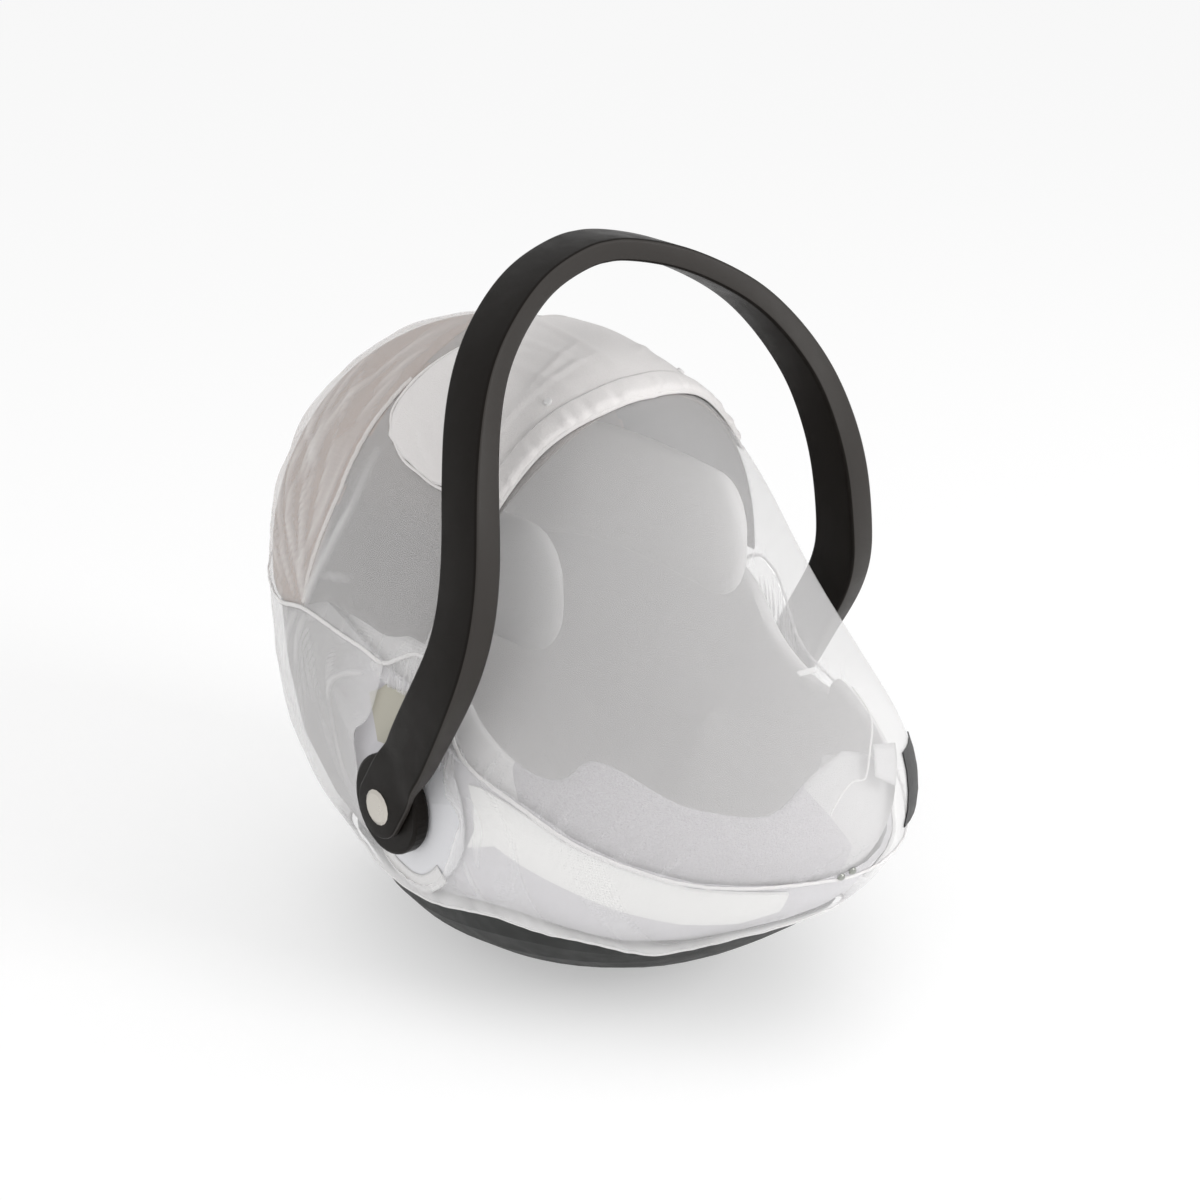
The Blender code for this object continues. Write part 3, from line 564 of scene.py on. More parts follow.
@dataclass(frozen=True)
class NetFinish:
    """Fine open net: the threads cover only part of what lies behind."""

    name: str = "Fine white net"
    colour: Triple = (0.92, 0.91, 0.91)
    cover: tuple[float, float] = (0.22, 0.25)
    gathered_cover: float = 0.30
    rows_per_metre: float = 120.0
    row_cover: float = 0.006

    def material(self) -> Material:
        """Makes the net's material, closer where folds lay the threads over each other."""
        material, shader, tree = principled(
            self.name,
            Base_Color=(*self.colour, 1),
            Roughness=0.65,
            Specular_IOR_Level=0.25,
            Sheen_Weight=0.25,
            Sheen_Roughness=0.4,
        )
        cover = textured_value(tree, (1500, 1500, 1500), 1.0, *self.cover)
        for direction in ("X", "Y", "Z"):
            cover = self.rib(tree, cover, direction)
        fold = add_node(tree, "Attribute", {"attribute_name": FOLD_LAYER})
        closer = multiply_add(tree, fold.outputs["Fac"], self.gathered_cover, cover, clamp=True)
        tree.links.new(closer, shader.inputs["Alpha"])
        return material

    def rib(self, tree: NodeTree, cover: NodeSocket, direction: str) -> NodeSocket:
        """Adds the rows of meshes along one direction.

        Args:
            tree: The material's nodes.
            cover: The cover so far.
            direction: X, Y or Z.

        Returns:
            The cover with these rows.
        """
        place = add_node(tree, "TexCoord")
        rows = add_node(
            tree,
            "TexWave",
            {"bands_direction": direction},
            Scale=self.rows_per_metre,
            Distortion=0.6,
            Detail_Scale=0.5,
        )
        tree.links.new(place.outputs["Object"], rows.inputs["Vector"])
        return multiply_add(tree, rows.outputs["Fac"], self.row_cover, cover)


@dataclass(frozen=True)
class ClothFinish:
    """Close cloth, woven or knitted."""

    name: str
    dark: Triple
    light: Triple
    grain: Triple = (1200, 1200, 1200)
    depth: float = 0.0003
    sheen: float = 0.3

    def material(self) -> Material:
        """Makes the cloth's material."""
        material, shader, tree = principled(
            self.name,
            Roughness=0.85,
            Specular_IOR_Level=0.2,
            Sheen_Weight=self.sheen,
            Sheen_Roughness=0.5,
        )
        weave = textured_value(tree, self.grain, 3.0, 0.0, 1.0)
        mix = add_node(tree, "Mix", {"data_type": "RGBA"}, A=(*self.dark, 1), B=(*self.light, 1))
        tree.links.new(weave, mix.inputs["Factor"])
        tree.links.new(mix.outputs["Result"], shader.inputs["Base Color"])
        bumped(tree, shader, weave, self.depth)
        return material


@dataclass(frozen=True)
class MouldedFinish:
    """Moulded plastic with a fine grain."""

    name: str
    colour: Triple
    roughness: float = 0.45
    metallic: float = 0.0
    depth: float = 0.00006
    gloss: float = 0.5

    def material(self) -> Material:
        """Makes the plastic's material."""
        material, shader, tree = principled(
            self.name, Base_Color=(*self.colour, 1), Metallic=self.metallic, Specular_IOR_Level=self.gloss
        )
        wear = textured_value(tree, (60, 60, 60), 4.0, self.roughness - 0.05, self.roughness + 0.06)
        tree.links.new(wear, shader.inputs["Roughness"])
        grain = textured_value(tree, (2500, 2500, 2500), 1.0, 0.0, 1.0)
        bumped(tree, shader, grain, self.depth)
        return material


def shade_along(material: Material, axis: str, other: Triple, stretch: tuple[float, float]) -> None:
    """Lets a finish change to another colour along one axis.

    Args:
        material: The finish.
        axis: X, Y or Z.
        other: The colour at the end of the stretch.
        stretch: Where it starts and where it is complete, in metres.
    """
    tree = material.node_tree
    shader = tree.nodes["Principled BSDF"]
    place = add_node(tree, "TexCoord")
    split = add_node(tree, "SeparateXYZ")
    span = add_node(tree, "MapRange", From_Min=stretch[0], From_Max=stretch[1])
    mix = add_node(tree, "Mix", {"data_type": "RGBA"})
    socket = shader.inputs["Base Color"]
    if socket.links:
        tree.links.new(socket.links[0].from_socket, mix.inputs["A"])
    else:
        mix.inputs["A"].default_value = tuple(socket.default_value)
    mix.inputs["B"].default_value = (*other, 1)
    tree.links.new(place.outputs["Object"], split.inputs["Vector"])
    tree.links.new(split.outputs[axis], span.inputs["Value"])
    tree.links.new(span.outputs["Result"], mix.inputs["Factor"])
    tree.links.new(mix.outputs["Result"], socket)


class Wardrobe:
    """Every finish of the object, made once."""

    def __init__(self) -> None:
        """Makes the materials."""
        self.net = NetFinish().material()
        self.binding = ClothFinish("White binding", (0.76, 0.75, 0.745), (0.86, 0.85, 0.845)).material()
        self.seam = NetFinish("Doubled net of the seams", (0.93, 0.915, 0.91), (0.52, 0.62), 0.2).material()
        self.rear_seam = NetFinish(
            "Doubled net of the rear seams", (0.93, 0.91, 0.90), (0.30, 0.38), 0.2
        ).material()
        self.cotton = ClothFinish("Visor cotton", (0.77, 0.745, 0.735), (0.82, 0.795, 0.785)).material()
        self.woven = ClothFinish("Black woven patch", (0.008, 0.008, 0.008), (0.03, 0.03, 0.03)).material()
        self.lining = ClothFinish("Grey lining", (0.86, 0.85, 0.85), (0.90, 0.89, 0.89)).material()
        self.knit = ClothFinish(
            "Pale knitted cover", (0.46, 0.44, 0.47), (0.62, 0.60, 0.63), (900, 500, 900), 0.0004
        ).material()
        self.headrest = ClothFinish(
            "Grey headrest cloth", (0.74, 0.73, 0.725), (0.79, 0.78, 0.775)
        ).material()
        self.hood_front = ClothFinish(
            "Dark canopy cloth", (0.036, 0.028, 0.021), (0.062, 0.050, 0.039)
        ).material()
        self.hood_rear = ClothFinish(
            "Brown canopy cloth", (0.27, 0.155, 0.092), (0.33, 0.20, 0.122)
        ).material()
        self.shell = MouldedFinish("Pale grey shell", (0.70, 0.69, 0.72), 0.5).material()
        # Painted shade: the shell's colour darkens towards the head end.
        shade_along(self.shell, "Y", (0.33, 0.32, 0.32), (0.02, 0.10))
        shade_along(self.lining, "Y", (0.66, 0.655, 0.66), (-0.20, -0.30))
        # Painted shadow: the headrest's near wing darkens where the handle's shadow falls on it.
        shade_along(self.headrest, "X", (0.50, 0.495, 0.49), (-0.05, -0.10))
        shade_along(self.hood_front, "Z", (0.17, 0.125, 0.095), (0.36, 0.47))
        self.trim = MouldedFinish("Cream rim trim", (0.95, 0.95, 0.935), 0.35).material()
        self.base = MouldedFinish("Dark rocker base", (0.021, 0.022, 0.021), 0.5, gloss=0.2).material()
        self.guide = MouldedFinish("Beige belt guide", (0.46, 0.44, 0.37), 0.5).material()
        self.handle = MouldedFinish(
            "Dark satin handle", (0.0085, 0.0068, 0.0056), 0.36, gloss=0.08
        ).material()
        # A lighter copy of the handle's plastic: painted light on the front faces that the key lamp falls on.
        self.handle_lit_face = MouldedFinish(
            "Painted light on the handle front", (0.036, 0.032, 0.029), 0.34, gloss=0.2
        ).material()
        self.badge = MouldedFinish("Pale brushed badge", (0.58, 0.55, 0.50), 0.32, 0.85).material()
        self.facing = MouldedFinish("White slot facing", (0.74, 0.74, 0.76), 0.5).material()
        self.steel = MouldedFinish("Small steel snap", (0.35, 0.36, 0.33), 0.3, 0.9).material()


# Meshes


def sheet_object(
    name: str,
    points: np.ndarray,
    material: Material,
    thickness: float,
    ring: bool = False,
    folds: np.ndarray | None = None,
) -> Object:
    """A cloth or a skin from a grid of outer points.

    Args:
        name: The piece's name.
        points: Columns by rows of points, in metres.
        material: Its finish.
        thickness: How thick it is, inwards.
        ring: Whether the last column meets the first.
        folds: How closely the threads are gathered at each point, from 0 to 1.

    Returns:
        The object.
    """
    quads = grid_faces(*points.shape[:2], ring)
    flat = points.reshape(-1, 3)
    facing = np.cross(flat[quads[:, 2]] - flat[quads[:, 0]], flat[quads[:, 3]] - flat[quads[:, 1]])
    away = flat[quads].mean(1) - np.array([0, 0, HINGE_HEIGHT])
    if (facing * away).sum() < 0:
        quads = quads[:, ::-1]
    mesh = new_mesh(name, flat, quads)
    if folds is not None:
        mesh.attributes.new(FOLD_LAYER, "FLOAT", "POINT").data.foreach_set("value", folds.ravel())
    weld(mesh, 0.00002)
    obj = add_object(name, mesh, material)
    thicken = obj.modifiers.new("Thickness", "SOLIDIFY")
    thicken.thickness = thickness
    thicken.offset = -1
    return obj


def grid_faces(columns: int, rows: int, ring: bool) -> np.ndarray:
    """The quads of a grid of points, whose last column may meet the first."""
    index = np.arange(columns * rows).reshape(columns, rows)
    following = np.roll(index, -1, axis=0) if ring else index[1:]
    leading = index if ring else index[:-1]
    return np.stack([leading[:, :-1], following[:, :-1], following[:, 1:], leading[:, 1:]], -1).reshape(-1, 4)


def new_mesh(name: str, points: np.ndarray, faces: np.ndarray | list) -> Mesh:
    """A mesh of points and faces."""
    mesh = bpy.data.meshes.new(name)
    mesh.from_pydata([tuple(p) for p in points.reshape(-1, 3)], [], [tuple(f) for f in faces])
    return mesh


def weld(mesh: Mesh, distance: float, closed: bool = False) -> None:
    """Joins the points that coincide, and turns the faces of a closed body outwards."""
    body = bmesh.new()
    body.from_mesh(mesh)
    bmesh.ops.remove_doubles(body, verts=body.verts, dist=distance)
    if closed:
        bmesh.ops.recalc_face_normals(body, faces=body.faces)
    else:
        bmesh.ops.dissolve_degenerate(body, edges=body.edges, dist=distance / 2)
    body.to_mesh(mesh)
    body.free()


def placed(obj: Object, replaced: str | None = None, body: str = CARRIER) -> Object:
    """Puts a piece on its body and the solid that it stands for.

    Args:
        obj: The piece.
        replaced: The solid it stands for, if there is one.
        body: The body it moves with.

    Returns:
        The piece.
    """
    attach(obj, body)
    if replaced:
        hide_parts(replaced)
    return obj


def add_object(name: str, mesh: Mesh, material: Material) -> Object:
    """A smooth-shaded object in the scene, with its material."""
    mesh.materials.append(material)
    mesh.shade_smooth()
    mesh.set_sharp_from_angle(angle=math.radians(50))
    obj = bpy.data.objects.new(name, mesh)
    bpy.context.scene.collection.objects.link(obj)
    return obj


def closed_loft(name: str, rings: np.ndarray, material: Material) -> Object:
    """A body through rings of points, capped at both ends."""
    count, turns = rings.shape[:2]
    index = np.arange(count * turns).reshape(count, turns)
    around = np.roll(index, -1, axis=1)
    quads = np.stack([index[:-1], around[:-1], around[1:], index[1:]], -1).reshape(-1, 4)
    mesh = new_mesh(name, rings, [*quads, index[0][::-1], index[-1]])
    weld(mesh, 0.00001, closed=True)
    return add_object(name, mesh, material)


def tube(name: str, path: np.ndarray, radius: float, material: Material, ring: bool = False) -> Object:
    """A round cord of cloth along a path.

    Args:
        name: The piece's name.
        path: The points it follows, in metres.
        radius: Its radius.
        material: Its finish.
        ring: Whether it closes on itself.

    Returns:
        The object.
    """
    curve = bpy.data.curves.new(name, "CURVE")
    curve.dimensions = "3D"
    curve.bevel_depth = radius
    curve.bevel_resolution = 3
    curve.use_fill_caps = True
    strand = curve.splines.new("POLY")
    strand.points.add(len(path) - 1)
    for point, place in zip(strand.points, path):
        point.co = (*place, 1)
    strand.use_cyclic_u = ring
    curve.materials.append(material)
    obj = bpy.data.objects.new(name, curve)
    bpy.context.scene.collection.objects.link(obj)
    return obj


def ribbon(
    name: str,
    line: np.ndarray,
    sign: np.ndarray,
    material: Material,
    width: float,
    lift: float,
    seed: int,
) -> Object:
    """A binding tape along a line of the net, slightly crowned and puckered by its stitches.

    Args:
        name: The piece's name.
        line: Disc places along it.
        sign: The side of each place.
        material: Its finish.
        width: Its width in metres.
        lift: How far its outer face stands off the net.
        seed: The seed of its puckers.

    Returns:
        The object.
    """
    centre = FAN.point(line, 0.0, sign)
    normal = FAN.outward(line, sign)
    side = unit(np.cross(normal, unit(np.gradient(centre, axis=0))))
    pucker = Ripple(seed)(run_length(centre) / 0.006, np.zeros(len(line))) * 0.0004
    rows = []
    for s in np.linspace(-1, 1, 7):
        crown = (1 - s * s) * 0.0008
        rows.append(centre + normal * (lift + crown + pucker)[:, None] + side * (s * width / 2))
    return sheet_object(name, np.stack(rows, 1), material, 0.0009)


# Net


@dataclass(frozen=True)
class WrinkleFan:
    """A fan of fine wrinkles about a place where the net is held."""

    centre: tuple[float, float]
    direction: float
    spread: float
    length: float
    height: float
    pitch: float
    start: float = 0.05


# Where the net is held: place, direction, spread, length, height, pitch, start
JUNCTION_FANS = (
    WrinkleFan((36, 0.27), 50, 36, 0.60, 1.0, 3.2, 0.16),
    WrinkleFan((30, 0.40), 66, 30, 0.62, 0.9, 3.6, 0.18),
    WrinkleFan((38, 0.275), 262, 44, 0.26, 1.1, 7.0, 0.09),
)


REAR_CREASES = creases(
    (40, 0.29, 47.2, 0.627, 1.0, 5, 0.02), (39, 0.30, 53.7, 0.74, 0.9, 5, -0.03),
    (41, 0.33, 57.4, 0.80, 0.8, 4, 0.05), (42, 0.35, 59.4, 0.55, 0.9, 4, 0.05),
    (40, 0.30, 38.7, 0.50, 1.0, 5, 0.04), (36, 0.32, 30, 0.62, 1.1, 6, 0.04),
    (45, 0.50, 58, 0.86, 0.8, 5, -0.04), (52, 0.60, 66, 0.86, 0.8, 4, 0.03),
    (33, 0.38, 24, 0.75, 1.0, 6, 0.05), (50, 0.52, 45, 0.95, 1.0, 7, -0.05),
    (35, 0.55, 36, 0.97, 1.0, 7, 0.05), (60, 0.60, 66, 0.72, 0.7, 4, 0.02),
    (62, 0.66, 68, 0.80, 0.7, 4, -0.02), (42, 0.45, 43, 0.99, 3.4, 17, 0.0),
    (56, 0.55, 57, 0.99, 2.4, 14, 0.02), (32, 0.50, 33, 0.99, 2.0, 12, 0.0),
)

FRONT_CREASES = creases(
    (40, 0.285, 67, 0.55, 0.9, 6, 0.04), (41, 0.28, 62, 0.43, 0.8, 5, -0.03),
    (39, 0.28, 64, 0.62, 0.8, 6, 0.02), (50, 0.31, 62, 0.31, 0.6, 4, 0.03),
)

VISOR_PULLS = creases(
    (88, 0.80, 99, 0.84, 1.6, 6, 0.03), (80, 0.62, 98, 0.66, 1.4, 6, 0.03),
    (84, 0.60, 80, 0.95, 1.3, 9, 0.05), (92, 0.70, 90, 0.97, 1.9, 5, 0.06),
    (86, 0.74, 96, 0.95, 1.4, 7, 0.03, Side.FAR), (82, 0.66, 98, 0.70, 1.3, 7, 0.03, Side.FAR),
    (76, 0.60, 84, 0.54, 1.1, 5, 0.03), (74, 0.90, 98, 0.93, 1.5, 5, 0.05),
    (75, 0.80, 92, 0.86, 1.4, 6, -0.05), (77, 0.99, 99, 0.985, 1.4, 5, 0.02),
    (85, 0.56, 97, 0.60, 1.2, 4, 0.03), (91, 0.58, 94, 0.97, 1.8, 4, 0.02),
)

SKIRT_CREASES = creases(
    (37, 0.262, 18.3, 0.275, 0.9, 5, 0.04), (36, 0.24, 20.8, 0.152, 0.9, 4, 0.03),
    (45, 0.19, -12, 0.128, 0.8, 4, -0.03), (33, 0.29, 5, 0.42, 0.8, 6, 0.03),
    (26, 0.36, 0, 0.60, 0.9, 7, 0.03), (30, 0.33, -8, 0.50, 0.6, 4, -0.04),
    (22, 0.50, -14, 0.62, 0.8, 5, 0.04), (60, 0.17, 20, 0.15, 0.8, 3, 0.03),
    (20, 0.66, -10, 0.80, 1.0, 8, 0.03), (18, 0.85, -14, 0.95, 1.0, 8, -0.02),
    (162, 0.197, 200, 0.24, 0.6, 4, 0.03), (200, 0.20, 214, 0.30, 0.6, 4, 0.03),
)


@dataclass
class MosquitoNet:
    """The net itself: its two upper panels, its skirt with the elastic hem, and its seam tapes."""

    finishes: Wardrobe
    thickness: float = 0.6 * MM
    tape_width: float = 3.6 * MM
    rear_tape_width: float = 5.4 * MM
    tape_lift: float = 0.7 * MM
    hem_radius: float = 1.3 * MM
    swell_height: float = 0.7 * MM
    broad_width: float = 10.0
    deepest: float = -0.0009
    full_fold: float = 0.0022
    slot_share: float = 0.26
    slot_wave: float = 0.0022
    slot_full_fold: float = 0.004
    hem_depth: float = 0.015
    hem_cover: float = 0.9
    frills: Ripple = field(default_factory=lambda: Ripple(7))
    swells: Ripple = field(default_factory=lambda: Ripple(11))

    def relief(self, points: np.ndarray, creases: tuple[Crease, ...]) -> np.ndarray:
        """The folds of a panel, with the far side's folds at their own strength.

        Args:
            points: The panel's points.
            creases: The folds of the near side.

        Returns:
            The lift of each point in metres.
        """
        lift = np.zeros(points.shape[:-1])
        for number, crease in enumerate(creases):
            lift += crease.relief(points)
            strength = 0.6 + 0.5 * math.sin(number * 2.3) ** 2
            twin = replace(crease, height=crease.height * strength, bow=-crease.bow, side=Side.FAR)
            lift += twin.relief(points)
        return lift

    def fans(self, grid: np.ndarray, sign: np.ndarray) -> np.ndarray:
        """The fine wrinkles that spread from each junction of the seams, which the elastic pulls on.

        Args:
            grid: Disc places.
            sign: The side of each.

        Returns:
            The lift of each place in metres.
        """
        lift = np.zeros(grid.shape[:2])
        for fan in JUNCTION_FANS:
            centre = on_disc(*fan.centre)
            offset = grid - centre
            away = np.hypot(offset[..., 0], offset[..., 1])
            turn = np.degrees(np.arctan2(offset[..., 1], offset[..., 0]))
            around = (turn - fan.direction + 180) % 360 - 180
            inside = np.exp(-((around / fan.spread) ** 4))
            rise = np.clip(away / fan.start, 0, 1) * np.exp(-((away / fan.length) ** 2))
            streak = self.frills(turn / fan.pitch + sign * 7 + 50, away / 0.22 + 20)
            lift += np.abs(streak) ** 0.8 * np.sign(streak) * inside * rise * fan.height * MM
        return lift

    def finish_panel(
        self,
        name: str,
        grid: np.ndarray,
        sign: np.ndarray,
        creases: tuple[Crease, ...],
        frill: np.ndarray,
        ring: bool = False,
        doubled: np.ndarray | float = 0.0,
    ) -> Object:
        """Lays a panel over the fan and folds it.

        Args:
            name: The piece's name.
            grid: Disc places.
            sign: The side of each.
            creases: Its folds.
            frill: Extra lift of each place in metres.
            ring: Whether its columns close on themselves.
            doubled: Where the net is folded onto itself, from 0 to 1.

        Returns:
            The piece.
        """
        points = FAN.point(grid, 0.0, sign)
        broad = self.relief(points, tuple(crease for crease in creases if crease.width > self.broad_width))
        fine = tuple(crease for crease in creases if crease.width <= self.broad_width)
        folded = self.relief(points, fine) + self.fans(grid, sign)
        swell = self.swells(points[..., 1] / 0.045 + 40, points[..., 0] / 0.06 + points[..., 2] / 0.05 + 40)
        lift = np.maximum(folded + broad + frill + self.swell_height * swell, self.deepest)
        points = points + FAN.outward(grid, sign) * lift[..., None]
        gathered = np.clip((folded + frill * 0.7) / self.full_fold + doubled, 0, 1)
        obj = sheet_object(f"draped_{name}", points, self.finishes.net, self.thickness, ring, gathered)
        return placed(obj, name)

    def upper_panels(self) -> None:
        """The panel in front of the rear seam and the one behind it."""
        seam = disc_table(RIM_SEAM)
        rear_seam = disc_table(REAR_SEAM)
        rows, front_columns, rear_columns = 64, 190, 90
        left = smooth_line(rear_seam, rows)
        bottom = smooth_line(seam[JUNCTION_ROW:], front_columns)
        top = on_disc(np.linspace(CROWN_ANGLE, RIM_SEAM[-1][0], front_columns), np.ones(front_columns))
        right = np.repeat(seam[-1][None], rows, axis=0)
        front = four_sided(bottom, top, left, right)
        bottom = smooth_line(seam[: JUNCTION_ROW + 1], rear_columns)
        top = on_disc(np.linspace(RIM_SEAM[0][0], CROWN_ANGLE, rear_columns), np.ones(rear_columns))
        rear = four_sided(bottom, top, np.repeat(seam[0][None], rows, axis=0), left)
        for name, grid, creases, flat, area in (
            ("net_front_panel", front, FRONT_CREASES, (0.60, 0.62), 0.275),
            ("net_rear_panel", rear, REAR_CREASES, (0.44, 0.38), 0.125),
        ):
            both, sign = mirrored(grid, 1)
            frill = self.seam_frill(both, sign)
            obj = self.finish_panel(name, both, sign, creases, frill)
            log.info("%s: %d by %d places", name, *both.shape[:2])

    def seam_frill(self, grid: np.ndarray, sign: np.ndarray) -> np.ndarray:
        """Small gathers beside the rim seam.

        Args:
            grid: The whole panel's disc places, with the seam as its first and last row.
            sign: The side of each.

        Returns:
            The lift of each place.
        """
        points = FAN.point(grid, 0.0, sign)
        along = np.cumsum(np.linalg.norm(np.gradient(points, axis=0), axis=-1), axis=0)
        gap = np.minimum(
            np.linalg.norm(points - points[:, :1], axis=-1), np.linalg.norm(points - points[:, -1:], axis=-1)
        )
        here = SEAM_GATHERS
        folds = self.frills(along[:, :1] / here.pitch + sign * 9 + 30, gap / here.reach)
        return folds * np.exp(-gap / here.fade) * here.height

    def skirt(self) -> None:
        """The skirt below the rim seam, its elastic hem and its gathers."""
        rows = 44
        upper, hem = smooth_stations(SKIRT, 12)
        grid = between(upper, hem, rows)
        both = np.concatenate([grid, grid[-2:0:-1]], axis=0)
        sign = np.ones(both.shape[:2])
        sign[: len(grid)] = -1
        points = FAN.point(both, 0.0, sign)
        along = run_length(points[:, -1])[:, None]
        from_hem = np.linalg.norm(points - points[:, -1:], axis=-1)
        from_top = np.linalg.norm(points - points[:, :1], axis=-1)
        near_slot = np.hypot(both[..., 0], both[..., 1]) < self.slot_share
        frill = HEM_GATHERS.lift(self.frills, along, from_hem) + HEM_PLEATS.lift(self.frills, along, from_hem)
        frill = frill + SLOT_GATHERS.lift(self.frills, along, from_top) * near_slot
        casing = np.exp(-((from_hem / self.hem_depth) ** 3)) * self.hem_cover
        obj = self.finish_panel("net_skirt", both, sign, SKIRT_CREASES, frill, ring=True, doubled=casing)
        fringe = FAN.point(both[:, -1], 0.0, sign[:, -1])
        fringe = fringe + FAN.outward(both[:, -1], sign[:, -1]) * (frill[:, -1:] * 0.6 - 0.0004)
        strips = [self.slot_frill(side) for side in Side] + [self.slot_lip(side) for side in Side]
        hem_cord = tube("elastic_hem", fringe, self.hem_radius, self.finishes.binding, ring=True)
        placed(hem_cord)
        log.info("net_skirt: %d by %d places", *both.shape[:2])

    def slot_frill(self, side: Side) -> Object:
        """The gathered strip of net that closes the top of a handle slot.

        Args:
            side: The side it is on.

        Returns:
            The strip.
        """
        columns, rows = 110, 14
        slot_edge = [row for row in RIM_SEAM if 62 < row[0] < 136]
        upper = smooth_line(disc_table(slot_edge) * 1.01, columns)
        hang = np.linspace(0.88, 0.45, columns)[:, None]
        lower = upper * np.concatenate([np.full((columns, 1), 0.97), hang], axis=1)
        grid = between(upper, lower, rows)
        down = np.linspace(0, 1, rows)[None, :]
        along = np.arange(columns)[:, None]
        wave = self.frills(along / 1.7 + side.value * 20 + 70, down * 1.4) * (0.35 + down) * self.slot_wave
        inset = 1.8 * MM + 1.5 * MM * down
        points = FAN.point(grid, inset, side.value) + FAN.outward(grid, side.value) * wave[..., None]
        folds = np.clip(wave / self.slot_full_fold, 0, 1)
        name = f"slot_frill_{side.name.lower()}"
        strip = sheet_object(name, points, self.finishes.net, self.thickness, False, folds)
        return placed(strip)

    def slot_lip(self, side: Side) -> Object:
        """The folded strip that lines the lower edge of a handle slot.

        Args:
            side: The side it is on.

        Returns:
            The strip.
        """
        rows = 8
        edge = [row[0] for row in SKIRT if row[0][1] < 0.24 and -140 < row[0][0] < -20]
        outer = smooth_line(disc_table(edge), 50)
        grid = between(outer * 1.13, outer * 0.86, rows)
        points = FAN.point(grid, np.linspace(0.4, 2.5, rows)[None, :] * MM, side.value)
        strip = sheet_object(f"slot_lip_{side.name.lower()}", points, self.finishes.binding, self.thickness)
        return placed(strip)

    def tapes(self) -> None:
        """The binding over the rim seam and over each rear seam."""
        line = smooth_line(disc_table(RIM_SEAM), 330)
        both, sign = mirrored(line, 0)
        rim = ribbon("sewn_rim_tape", both, sign, self.finishes.seam, self.tape_width, self.tape_lift, 3)
        strips = [(rim, "rim_seam_tape")]
        rear = smooth_line(disc_table(REAR_SEAM[:6]), 90)[2:]
        for side, name in ((Side.NEAR, "left"), (Side.FAR, "right")):
            piece = ribbon(
                f"sewn_rear_tape_{name}",
                rear,
                np.full(len(rear), side.value),
                self.finishes.rear_seam,
                self.rear_tape_width,
                self.tape_lift,
                5 + side.value,
            )
            strips.append((piece, f"rear_seam_tape_{name}"))
        for piece, node in strips:
            placed(piece, node)
        log.info("tapes: %d", len(strips))

    def build(self) -> None:
        """Builds every piece of the net."""
        self.upper_panels()
        self.skirt()
        self.tapes()


